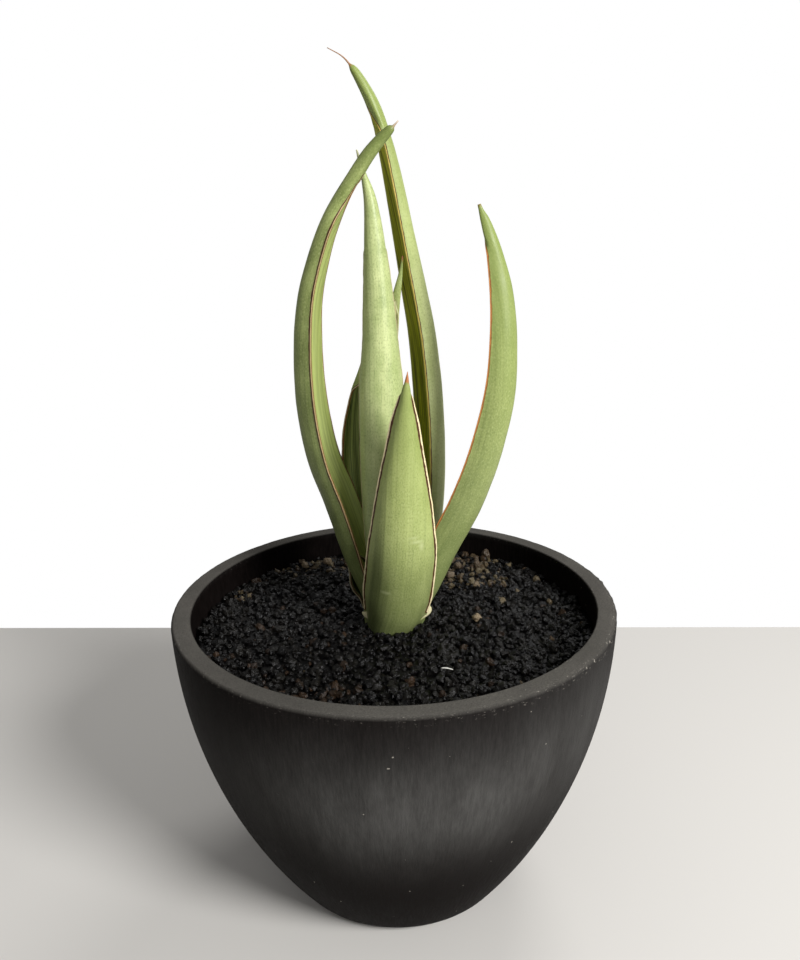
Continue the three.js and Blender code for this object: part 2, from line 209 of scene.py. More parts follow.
def wave(values: np.ndarray, seed: float, octaves: int = 3) -> np.ndarray:
    """Smooth noise along a line.

    Args:
        values: places along it, where 1 is the size of the widest wave.
        seed: which noise.
        octaves: how many finer layers it has.

    Returns:
        About -1 to 1 for each place.
    """
    return np.array([noise.fractal(Vector((v, seed, 3.7)), 1.0, 2.0, octaves) for v in values])


# ---------------------------------------------------------------- finishes


class Graph:
    """A material's nodes, while a finish adds its patterns to them."""

    def __init__(self, material: bpy.types.Material) -> None:
        """Empties the material's tree and gives it a shader.

        Args:
            material: the material.
        """
        material.use_nodes = True
        self.tree = material.node_tree
        self.tree.nodes.clear()
        self.shader = add(self.tree, "ShaderNodeBsdfPrincipled")
        add(self.tree, "ShaderNodeOutputMaterial", {"Surface": self.shader.outputs["BSDF"]})

    def surface(self, inputs: Sockets) -> None:
        """Sets or feeds the shader's own inputs."""
        feed(self.tree, self.shader, inputs)

    def read(self, name: str, output: str = "Fac") -> bpy.types.NodeSocket:
        """Reads one of the mesh's stored attributes."""
        return add(self.tree, "ShaderNodeAttribute", attribute_name=name).outputs[output]

    def place(self) -> bpy.types.NodeSocket:
        """Gives the place on the object, in metres."""
        return add(self.tree, "ShaderNodeTexCoord").outputs["Object"]

    def pattern(self, source: bpy.types.NodeSocket, size: Point, **inputs: float) -> bpy.types.NodeSocket:
        """Adds a noise pattern of a real size.

        Args:
            source: coordinates.
            size: the size of the pattern's grain along each coordinate, in the coordinates' unit.
            inputs: the noise's other inputs, such as Detail.

        Returns:
            The noise's value, about 0.5 on average.
        """
        scale = tuple(1 / s for s in size)
        placed = add(self.tree, "ShaderNodeVectorMath", {0: source, 1: scale}, operation="MULTIPLY").outputs[0]
        return add(self.tree, "ShaderNodeTexNoise", {"Vector": placed, "Scale": 1.0, **inputs}).outputs[0]

    def between(
        self, value: bpy.types.NodeSocket, low: float, high: float, to: tuple[float, float] = (0.0, 1.0)
    ) -> bpy.types.NodeSocket:
        """Spreads a value between two limits over a new range.

        Args:
            value: the value.
            low: where it gives the first end of the new range.
            high: where it gives the second end.
            to: the new range.

        Returns:
            The spread value, held within the new range.
        """
        return add(self.tree, "ShaderNodeMapRange", {0: value, 1: low, 2: high, 3: to[0], 4: to[1]}).outputs[0]

    def combine(self, how: str, *values: object) -> bpy.types.NodeSocket:
        """Joins numbers or sockets by arithmetic, such as ADD."""
        return add(self.tree, "ShaderNodeMath", dict(enumerate(values)), operation=how).outputs[0]

    def blend(self, share: object, first: object, second: object) -> bpy.types.NodeSocket:
        """Mixes two colours.

        Args:
            share: how much of the second, a number or a socket.
            first: an sRGB hex colour or a socket.
            second: the same.

        Returns:
            The mixed colour.
        """
        first, second = (linear(c) if isinstance(c, str) else c for c in (first, second))
        return add(self.tree, "ShaderNodeMix", {0: share, 6: first, 7: second}, data_type="RGBA").outputs[2]

    def bump(self, layers: Sequence[tuple[bpy.types.NodeSocket, float]]) -> None:
        """Adds relief to the shader, one layer on another.

        Args:
            layers: for each layer, its pattern and its height in millimetres.
        """
        normal: Sockets = {}
        for height, tall in layers:
            made = add(self.tree, "ShaderNodeBump", {"Height": height, "Distance": tall * MM, **normal})
            normal = {"Normal": made.outputs[0]}
        self.surface(normal)


@dataclass(frozen=True)
class Finish:
    """A surface finish. Each kind says what the real material is."""

    name: str

    def material(self) -> bpy.types.Material:
        """Makes the material, with this finish's name."""
        made = bpy.data.materials.new(self.name)
        self.dress(Graph(made))
        return made

    def dress(self, graph: Graph) -> None:
        """Adds the finish's patterns to its material's nodes."""
        raise NotImplementedError


@dataclass(frozen=True)
class LeafSkin(Finish):
    """Waxy snake plant leaf: a sage skin with faint mottling and fine veins along it, a thin red-brown line
    inside each margin and a papery pale edge on it. The wax gives a soft sheen without a hard highlight.
    Painted shade darkens the skin towards its foot, in its channel and in listed patches; on the tall leaf
    the foot is paler instead, painted light."""

    shade: Shade = Shade.SUNLIT
    light: str = "#a9b373"
    dark: str = "#93a05e"
    channel: str = "#97a35d"
    # colour of the painted shade in the channel
    channel_shade: str = "#3c4626"
    tip: str = "#6a7a38"
    # colour of the patches of painted shade
    painted_shade_colour: str = "#39421f"
    tip_from: float = 0.94  # share of the length from which the skin darkens to its tip
    line: str = "#4a2a1a"
    inner_line: str = "#7d4420"
    crest: str = "#cfc29c"
    dead: str = "#b98252"
    dead_vein: str = "#8a5530"
    speck: str = "#5f6e3a"
    fleck: str = "#c8d096"
    scrape: str = "#c9cf9c"
    # colour of the painted shade towards the foot; on the tall leaf a paler colour, painted light
    foot: str = "#55633a"
    crest_mm: float = 0.35
    line_mm: float = 0.5
    painted_foot_shading_reach: float = 135.0  # height up to which painted shade darkens the skin towards its foot, in millimetres
    painted_foot_shading_share: float = 0.55

    def dress(self, graph: Graph) -> None:
        """Adds the skin's mottling, veins, margins, dead tip and painted shade to its material.

        Args:
            graph: the material's nodes.
        """
        blade = graph.read("blade", "Vector")
        names = ("edge", "dry", "rise", "scuff", "dull", "share")
        edge, dry, rise, scuff, dull, reach = (graph.read(name) for name in names)
        veins = graph.pattern(blade, (0.8, 60, 1), Detail=3.0)
        ribs = graph.pattern(blade, (2.6, 140, 1), Detail=1.0)
        mottle = graph.pattern(blade, (7, 16, 1), Detail=3.0)
        bands = graph.pattern(blade, (30, 5, 1), Detail=2.0)
        grain = graph.pattern(blade, (0.75, 1.2, 1), Detail=2.0)
        body = graph.blend(graph.between(mottle, 0.3, 0.7), self.dark, self.light)
        body = graph.blend(graph.between(ribs, 0.4, 0.62, (0, 0.35)), body, self.dark)
        body = graph.blend(graph.between(bands, 0.5, 0.7, (0, 0.3)), body, self.light)
        body = graph.blend(graph.between(grain, 0.52, 0.72, (0, 0.44)), body, self.speck)
        body = graph.blend(graph.between(grain, 0.46, 0.26, (0, 0.4)), body, self.fleck)
        body = graph.blend(graph.between(veins, 0.52, 0.7, (0, 0.22)), body, self.speck)
        # Painted shade: the skin darkens towards the dressing, where the grit and the leaves around shade it; a paler
        # foot colour paints light instead.
        low = graph.between(rise, self.painted_foot_shading_reach, 0.0, (0, self.painted_foot_shading_share))
        body = graph.blend(low, body, self.foot)
        tip = graph.between(reach, self.tip_from, 1.0, (0, 0.85))
        body = graph.blend(tip, body, self.tip)
        # Painted shade: listed patches darken the skin where it lies in shadow.
        body = graph.blend(dull, body, self.painted_shade_colour)
        # Painted shade in the channel: it darkens along the veins, more on the leaves marked shaded.
        inside = graph.between(edge, -0.7, -1.8)
        deep = graph.blend(graph.between(veins, 0.42, 0.6), self.channel, self.channel_shade)
        share = 0.75 if self.shade is Shade.SHADED else 0.3
        channel_shade = graph.blend(share, self.channel, deep)
        body = graph.blend(inside, body, channel_shade)
        body = graph.blend(scuff, body, self.scrape)
        ragged = graph.pattern(blade, (1.5, 5, 1), Detail=3.0)
        ragged = graph.between(ragged, 0.3, 0.7, (-0.18, 0.18))
        place = graph.combine("ADD", edge, ragged)
        margin = self.margin(graph, place)
        body = graph.blend(margin.outputs["Alpha"], body, margin.outputs["Color"])
        faded = graph.blend(graph.between(veins, 0.35, 0.65), self.dead, self.dead_vein)
        body = graph.blend(dry, body, faded)
        waxy = graph.between(mottle, 0.3, 0.7, (0.38, 0.52))
        graph.surface({"Base Color": body, "Roughness": waxy, "Specular IOR Level": 0.32})
        graph.bump([(ribs, 0.25), (grain, 0.06)])

    def margin(self, graph: Graph, place: bpy.types.NodeSocket) -> bpy.types.Node:
        """Adds the two lines of a margin.

        Args:
            graph: the material's nodes.
            place: millimetres from the margin's crest, above 0 on the leaf's back.

        Returns:
            A colour ramp whose alpha is how much of the margin covers the skin.
        """
        reach = 3.0
        crest, line, inner = linear(self.crest), linear(self.line), linear(self.inner_line)
        wide, far = self.crest_mm, self.crest_mm + self.line_mm
        stops = [
            (-wide - 0.9, (*inner[:3], 0.0)),
            (-wide - 0.45, inner),
            (-wide - 0.15, inner),
            (-wide, crest),
            (wide, crest),
            (wide + 0.12, line),
            (far, line),
            (far + 0.3, (*line[:3], 0.0)),
        ]
        share = graph.between(place, -reach, reach)
        spread = [((at + reach) / (2 * reach), colour) for at, colour in stops]
        return add(graph.tree, "ShaderNodeValToRGB", {0: share}, stops=spread)


@dataclass(frozen=True)
class SheathSkin(Finish):
    """Old leaf sheath, half dried: muted olive going to papery tan at its torn edge, with fibres along it."""

    fresh: str = "#5e6a38"
    papery: str = "#d9cfae"
    fibre: str = "#3a4424"
    border: str = "#6b4a2a"

    def dress(self, graph: Graph) -> None:
        """Adds fibres and the papery edge to the material.

        Args:
            graph: the material's nodes.
        """
        blade = graph.read("blade", "Vector")
        edge, dry = graph.read("edge"), graph.read("dry")
        fibres = graph.pattern(blade, (0.7, 25, 1), Detail=3.0)
        body = graph.blend(graph.between(fibres, 0.4, 0.65), self.fresh, self.fibre)
        rim = graph.between(edge, 1.2, 0.4)
        body = graph.blend(rim, body, self.border)
        body = graph.blend(dry, body, self.papery)
        graph.surface({"Base Color": body, "Roughness": 0.6})
        graph.bump([(fibres, 0.2)])


@dataclass(frozen=True)
class MouldedComposite(Finish):
    """Matt black moulded planter of resin and stone powder, rubbed down by hand: brushed streaks run up its
    side, and its sawn, sanded rim is greyer, with flecks and worn corners. Grey patches on its side, broken
    up by the streaks, are painted highlights."""

    body: str = "#0c0908"
    streak: str = "#151110"
    # colour of the painted highlights
    haze: str = "#5a5957"
    land: str = "#5c5954"
    land_dark: str = "#45433f"
    land_cloud: str = "#3d3b38"
    worn: str = "#a8a298"

    def dress(self, graph: Graph) -> None:
        """Adds streaks, the painted highlights, the sanded rim, wear and flecks to the material.

        Args:
            graph: the material's nodes.
        """
        wall = graph.read("wall", "Vector")
        land, corner, haze = (graph.read(name) for name in ("land", "corner", "haze"))
        streaks = graph.pattern(wall, (1.1, 1.1, 8), Detail=4.0, Roughness=0.7)
        brushed = graph.pattern(wall, (5, 5, 22), Detail=4.0, Roughness=0.7)
        clouds = graph.pattern(wall, (28, 28, 60), Detail=4.0, Roughness=0.6)
        grain = graph.pattern(wall, (0.8, 0.8, 0.8), Detail=2.0)
        flecks = graph.pattern(wall, (2.0, 2.0, 2.0), Detail=0.0)
        chips = graph.pattern(wall, (2.2, 2.2, 1.2), Detail=4.0, Roughness=0.7)
        side = graph.blend(graph.between(streaks, 0.4, 0.66), self.body, self.streak)
        # Painted highlight: the side is lightened where the mesh marks it, broken up by the streaks and clouds.
        highlight_share = graph.combine("ADD", streaks, brushed)
        highlight_share = graph.between(highlight_share, 0.75, 1.25, (0.68, 1.0))
        highlight_share = graph.combine("MULTIPLY", highlight_share, haze)
        patch = graph.between(clouds, 0.3, 0.65, (0.6, 1.0))
        highlight_share = graph.combine("MULTIPLY", highlight_share, patch)
        side = graph.blend(highlight_share, side, self.haze)
        sanded = graph.blend(graph.between(grain, 0.3, 0.72), self.land_dark, self.land)
        sanded = graph.blend(graph.between(clouds, 0.35, 0.65, (0, 0.4)), sanded, self.land_cloud)
        colour = graph.blend(land, side, sanded)
        chipped = graph.between(chips, 0.6, 0.7)
        wear = graph.combine("MULTIPLY", corner, chipped)
        colour = graph.blend(wear, colour, self.worn)
        colour = graph.blend(graph.between(flecks, 0.885, 0.9, (0, 0.6)), colour, self.worn)
        rough = graph.combine("MULTIPLY_ADD", land, 0.25, graph.between(streaks, 0.35, 0.65, (0.48, 0.6)))
        graph.surface({"Base Color": colour, "Roughness": rough, "Specular IOR Level": 0.015})
        graph.bump([(streaks, 0.12), (grain, 0.05)])


@dataclass(frozen=True)
class Grit(Finish):
    """Crushed stone that keeps its broken, porous faces: each granule has its own tone, and a fine powder
    dulls it. Painted shade darkens its pits.
    """

    dark: str = "#030202"
    grey: str = "#13110e"
    rust: str = "#36271a"
    tan: str = "#5e543f"
    pore_mm: float = 0.7

    def dress(self, graph: Graph) -> None:
        """Adds the granules' tones and pores, and painted shade in the pits, to the material.

        Args:
            graph: the material's nodes.
        """
        place = graph.place()
        tone = graph.read("tone")
        tint = graph.read("tint")
        size = self.pore_mm * MM
        pores = graph.pattern(place, (size, size, size), Detail=3.0, Roughness=0.7)
        body = graph.blend(graph.between(tone, 0.25, 1.0), self.dark, self.grey)
        body = graph.blend(graph.between(tint, 0.02, 0.5), body, self.rust)
        body = graph.blend(graph.between(tint, 0.55, 1.0), body, self.tan)
        # Painted shade: the pits of the pores are darkened.
        body = graph.blend(graph.between(pores, 0.6, 0.3, (0, 0.55)), body, self.dark)
        rough = graph.between(pores, 0.35, 0.65, (0.22, 0.5))
        graph.surface({"Base Color": body, "Roughness": rough, "Specular IOR Level": 0.2})
        graph.bump([(pores, 0.35)])


@dataclass(frozen=True)
class Earth(Finish):
    """Loose bark and coir, or the corky skin of a rhizome: matt, with coarse crumbs of two tones."""

    dark: str = "#2a1d14"
    pale: str = "#5a4029"
    crumb_mm: float = 3.0

    def dress(self, graph: Graph) -> None:
        """Adds crumbs to the material.

        Args:
            graph: the material's nodes.
        """
        place = graph.place()
        size = self.crumb_mm * MM
        crumbs = graph.pattern(place, (size, size, size), Detail=4.0, Roughness=0.7)
        body = graph.blend(graph.between(crumbs, 0.4, 0.62), self.dark, self.pale)
        graph.surface({"Base Color": body, "Roughness": 0.9})
        graph.bump([(crumbs, 0.8)])


@dataclass(frozen=True)
class Plain(Finish):
    """Plain pale board or a chip of expanded perlite: even, with no sheen."""

    colour: str = "#cfccc7"

    def dress(self, graph: Graph) -> None:
        """Sets its one colour and its roughness.

        Args:
            graph: the material's nodes.
        """
        graph.surface({"Base Color": linear(self.colour), "Roughness": 0.8})


# ---------------------------------------------------------------- leaves


@dataclass
class Leaf:
    """A channelled leaf, swept along its spine.

    A spine point is x, y and the height above the dressing, in millimetres. A section row gives, at a share
    of the spine's length, the width between the margins, the depth of the back below them and the depth of
    the channel; a negative channel is a full, rounded upper side.
    """

    node: str
    facing: tuple[float, float]
    spine: Sequence[Point]
    sections: Sequence[tuple[float, float, float, float]]
    skin: Finish
    slot: Slot = Slot.LEAF
    dry_from: float = 0.97
    dry_over: float = 0.01
    closed: float = 0.9  # share of the length where the channel ends and the leaf is round
    closing: float = 0.05  # share of the length over which the margins run together before that
    lined_from: float = -20.0  # height over the dressing at which the margins' lines start, in millimetres
    flange: float = 0.55  # how far the margins stand out, in millimetres
    flange_reach: float = 2.4  # how far from the margin that begins, in millimetres
    scuffs: Sequence[tuple[float, float, float, float]] = ()  # across, along, length, width in millimetres
    painted_shade_patches: Sequence[tuple[float, float, float, float]] = ()  # the same, for patches of painted shade
    frays: Sequence[float] = ()  # shares of the length where fibres stand off the left margin
    ragged: float = 0.22  # how far the papery crest wanders, in millimetres
    ragged_reach: float = 0.8  # how far from the margin it does, in millimetres
    swell: float = 0.02  # how much the thickness changes along the leaf, as a share
    lip: float = 1.3
    rings: int = 340
    back_steps: int = 34
    channel_steps: int = 22
    seed: float = 0.0

    def spine_line(self) -> tuple[np.ndarray, np.ndarray]:
        """Runs a centripetal Catmull-Rom curve through the spine's points.

        Returns:
            Close points along the curve, and the length up to each.
        """
        points = np.array(self.spine, float) + [0, 0, DRESSING]
        padded = np.vstack([2 * points[0] - points[1], points, 2 * points[-1] - points[-2]])
        out = []
        for i in range(len(points) - 1):
            p = padded[i : i + 4]
            d = [max(1e-4, float(np.linalg.norm(p[k + 1] - p[k])) ** 0.5) for k in range(3)]
            t1 = d[1] * ((p[1] - p[0]) / d[0] - (p[2] - p[0]) / (d[0] + d[1]) + (p[2] - p[1]) / d[1])
            t2 = d[1] * ((p[2] - p[1]) / d[1] - (p[3] - p[1]) / (d[1] + d[2]) + (p[3] - p[2]) / d[2])
            s = np.linspace(0, 1, 60, endpoint=i == len(points) - 2)[:, None]
            bend = (-3 * p[1] + 3 * p[2] - 2 * t1 - t2) * s**2 + (2 * p[1] - 2 * p[2] + t1 + t2) * s**3
            out.append(p[1] + t1 * s + bend)
        line = np.vstack(out)
        steps = np.linalg.norm(np.diff(line, axis=0), axis=1)
        return line, np.r_[0, np.cumsum(steps)]

    def size_at(self, shares: np.ndarray, column: int) -> np.ndarray:
        """Reads a column of the section rows, with a smooth curve through them.

        Args:
            shares: shares of the leaf's length.
            column: 1 for the width, 2 for the depth, 3 for the channel.

        Returns:
            Millimetres at each share.
        """
        rows = np.array(self.sections, float)
        x, y = rows[:, 0], rows[:, column]
        rise = np.diff(y) / np.diff(x)
        slope = np.zeros(len(x))
        for k in range(1, len(x) - 1):
            product = rise[k - 1] * rise[k]
            slope[k] = 0 if product <= 0 else 2 * product / (rise[k - 1] + rise[k])
        i = np.clip(np.searchsorted(x, shares, side="left") - 1, 0, len(x) - 2)
        span = x[i + 1] - x[i]
        s = (shares - x[i]) / span
        return (
            (2 * s**3 - 3 * s**2 + 1) * y[i]
            + (s**3 - 2 * s**2 + s) * span * slope[i]
            + (3 * s**2 - 2 * s**3) * y[i + 1]
            + (s**3 - s**2) * span * slope[i + 1]
        )

    def section(self, width: float, depth: float, channel: float, shut: float) -> np.ndarray:
        """Draws one closed section: the back, the right margin's lip, the channel and the left lip.

        Args:
            width: between the margins.
            depth: of the back.
            channel: depth of the channel.
            shut: how far the margins have run together over the upper side, from 0 to 1.

        Returns:
            Its points, x across and y towards the upper side.
        """
        lip = min(self.lip, 0.2 * width)
        a = math.pi * (0.5 - 0.5 * np.cos(np.linspace(0, math.pi, self.back_steps + 1)))
        back = np.stack([-width / 2 * np.cos(a), -depth * np.sin(a)], -1)
        b = math.pi * (0.5 + 0.5 * np.cos(np.linspace(0, math.pi, self.channel_steps + 1)))
        front = np.stack([(lip - width / 2) * np.cos(b), -channel * np.sin(b)], -1)
        t = np.array([0.3, 0.65])
        rise = 0.22 * lip * np.array([1.0, 0.8])
        right = np.stack([width / 2 - lip * t, rise], -1)
        left = np.stack([lip * t[::-1] - width / 2, rise[::-1]], -1)
        wide = np.vstack([back, right, front, left])
        top = max(-channel, 0.18 * width)
        round_y = np.cos(2 * a) * np.where(np.cos(2 * a) > 0, top, depth)
        # Closed, the lips and the channel are left as a fine slit between the margins.
        sunk = top - 0.06 - 0.1 * np.sin(np.r_[0.05, 0.1, b, 0.1, 0.05])
        slit = np.stack([0.1 * wide[len(a) :, 0] / width, sunk], -1)
        closed = np.vstack([np.stack([-width / 2 * np.sin(2 * a), round_y], -1), slit])
        form = wide + (closed - wide) * shut
        form[:, 0] *= width / 2 / np.abs(form[:, 0]).max()
        return form

    def frames(self) -> tuple[np.ndarray, np.ndarray, np.ndarray, np.ndarray, float]:
        """Sets out the rings along the spine.

        Returns:
            Shares of the length, and at each the ring's origin, its direction across and its upper side's
            direction; then the leaf's length.
        """
        line, length = self.spine_line()
        shares = np.linspace(0, 1, self.rings)
        origin = np.stack([np.interp(shares * length[-1], length, line[:, k]) for k in range(3)], -1)
        tangent = np.gradient(origin, axis=0)
        tangent /= np.linalg.norm(tangent, axis=1)[:, None]
        angle = np.radians(self.facing[0] + (self.facing[1] - self.facing[0]) * shares)
        up = np.stack([np.cos(angle), np.sin(angle), np.zeros_like(angle)], -1)
        up -= tangent * (up * tangent).sum(1)[:, None]
        up /= np.linalg.norm(up, axis=1)[:, None]
        return shares, origin, np.cross(up, tangent), up, float(length[-1])

    def mesh(self) -> bpy.types.Mesh:
        """Builds the leaf with the values that its skin reads.

        Returns:
            The mesh: blade is across, along and a seed in millimetres; edge is the distance from the
            nearest margin's crest, below 0 in the channel; rise is the height over the dressing; share is
            along the leaf; dry and scuff are how much of each there is, and a third mask is how much painted
            shade there is.
        """
        shares, origin, across, up, length = self.frames()
        sizes = [self.size_at(shares, k) for k in (1, 2, 3)]
        width = sizes[0][:, None]
        shut = np.clip((shares - self.closed) / self.closing + 1, 0, 1)
        shut = shut * shut * (3 - 2 * shut)
        flat = np.stack([self.section(*s) for s in zip(*sizes, shut)])
        steps = np.linalg.norm(np.roll(flat, -1, axis=1) - flat, axis=2)
        run = np.concatenate([np.zeros((len(flat), 1)), np.cumsum(steps, axis=1)], axis=1)
        total, run = run[:, -1:], run[:, :-1]
        far = run[:, self.back_steps : self.back_steps + 1]
        on_back = np.arange(flat.shape[1])[None, :] <= self.back_steps
        edge = np.where(on_back, np.minimum(run, far - run), -np.minimum(run - far, total - run))
        apart = (1 - shut)[:, None]
        near = np.clip(1 - np.abs(edge) / self.flange_reach, 0, 1) ** 2
        flange = self.flange * near * np.clip(width / 12, 0, 1) * apart
        flat[:, :, 0] *= 1 - 1.2 * self.flange * apart / (width + 6)
        flat[:, :, 0] += np.sign(flat[:, :, 0]) * flange
        wander = self.ragged * wave(shares * length / 9, self.seed + 1)[:, None]
        wander = wander * np.exp(-((edge / self.ragged_reach) ** 2)) * np.clip(width / 8, 0, 1) * apart
        flat[:, :, 0] += np.sign(flat[:, :, 0]) * wander
        # Shallow dents and swellings, as in a leaf that has been short of water.
        flat[:, :, 1] *= 1 + self.swell * wave(shares * length / 30, self.seed + 5)[:, None]
        rings = origin[:, None] + across[:, None] * flat[:, :, :1] + up[:, None] * flat[:, :, 1:]
        mesh = loft(rings, self.node)
        # Where the two margins have run together the leaf is round, and their lines end.
        rise = rings[:, :, 2] - DRESSING
        edge = edge + 5 * np.clip((shares[:, None] - self.closed + 0.005) / 0.02, 0, 1)
        edge = edge + 5 * np.clip((self.lined_from - rise) / 2, 0, 1)
        along = np.broadcast_to(shares[:, None] * length, edge.shape)
        middle = np.where(on_back, run - far / 2, run - (far + total) / 2 + 90)
        blade = np.stack([middle, along, np.full(edge.shape, 17.0 * self.seed)], -1)
        ragged = 0.4 * self.dry_over * wave(run[0] / 2, self.seed + 9)[None, :]
        dry = np.clip((shares[:, None] + ragged - self.dry_from) / self.dry_over, 0, 1)
        # Scuffs are real wear; the second list is patches of painted shade.
        marks = []
        for patches in (self.scuffs, self.painted_shade_patches):
            mark = np.zeros(edge.shape)
            for x, y, long, wide in patches:
                mark += np.exp(-(((middle - x) / wide) ** 2) - ((along - y) / long) ** 2)
            marks.append(np.clip(mark, 0, 1) * 0.6)
        scuff, dull = marks
        stored = {"edge": edge, "dry": dry, "scuff": scuff, "dull": dull, "rise": rise, "share": shares[:, None]}
        for name, values in stored.items():
            store(mesh, name, (values + 0 * edge).ravel())
        store(mesh, "blade", blade.reshape(-1, 3))
        return mesh

    def build(self) -> None:
        """Builds and dresses the leaf, and its loose fibres if it has any."""
        mesh = self.mesh()
        mesh.materials.append(self.skin.material())
        piece(f"{self.node}_blade", mesh, [self.node])
        if self.frays:
            self.build_frays()

    def build_frays(self) -> None:
        """Builds the dry fibres that stand off the leaf's left margin, as one piece."""
        shares, origin, across, up, _ = self.frames()
        widths = self.size_at(shares, 1)
        tangent = np.gradient(origin, axis=0)
        tangent /= np.linalg.norm(tangent, axis=1)[:, None]
        rings, faces = [], []
        for k, at in enumerate(self.frays):
            i = int(round(at * (self.rings - 1)))
            root = origin[i] - across[i] * widths[i] / 2
            lean = -across[i] * (0.5 + 0.3 * math.sin(7 * k)) + tangent[i] * (1.0 if k % 3 else -0.6)
            lean /= np.linalg.norm(lean)
            side = np.cross(lean, up[i])
            long, thick = 2.2 + 1.3 * abs(math.sin(3.1 * k)), 0.16
            base = len(rings)
            for step in range(4):
                share = step / 3
                bend = -across[i] * 0.5 * share**2 * math.cos(5 * k)
                spot = root + lean * long * share + bend
                wide = thick * (1 - 0.8 * share)
                rings += [spot + side * wide, spot + up[i] * wide, spot - side * wide]
            for step in range(3):
                for j in range(3):
                    a, b = base + 3 * step + j, base + 3 * step + (j + 1) % 3
                    faces.append([a, b, b + 3, a + 3])
            faces += [[base + 2, base + 1, base], [base + 9, base + 10, base + 11]]
        mesh = bpy.data.meshes.new(f"{self.node}_fibres")
        mesh.from_pydata((np.array(rings) * MM).tolist(), [], faces)
        mesh.materials.append(Earth("dry leaf fibre", "#9a5a30", "#c98a55", 0.5).material())
        piece(f"{self.node}_fibres", mesh)


# ---------------------------------------------------------------- planter


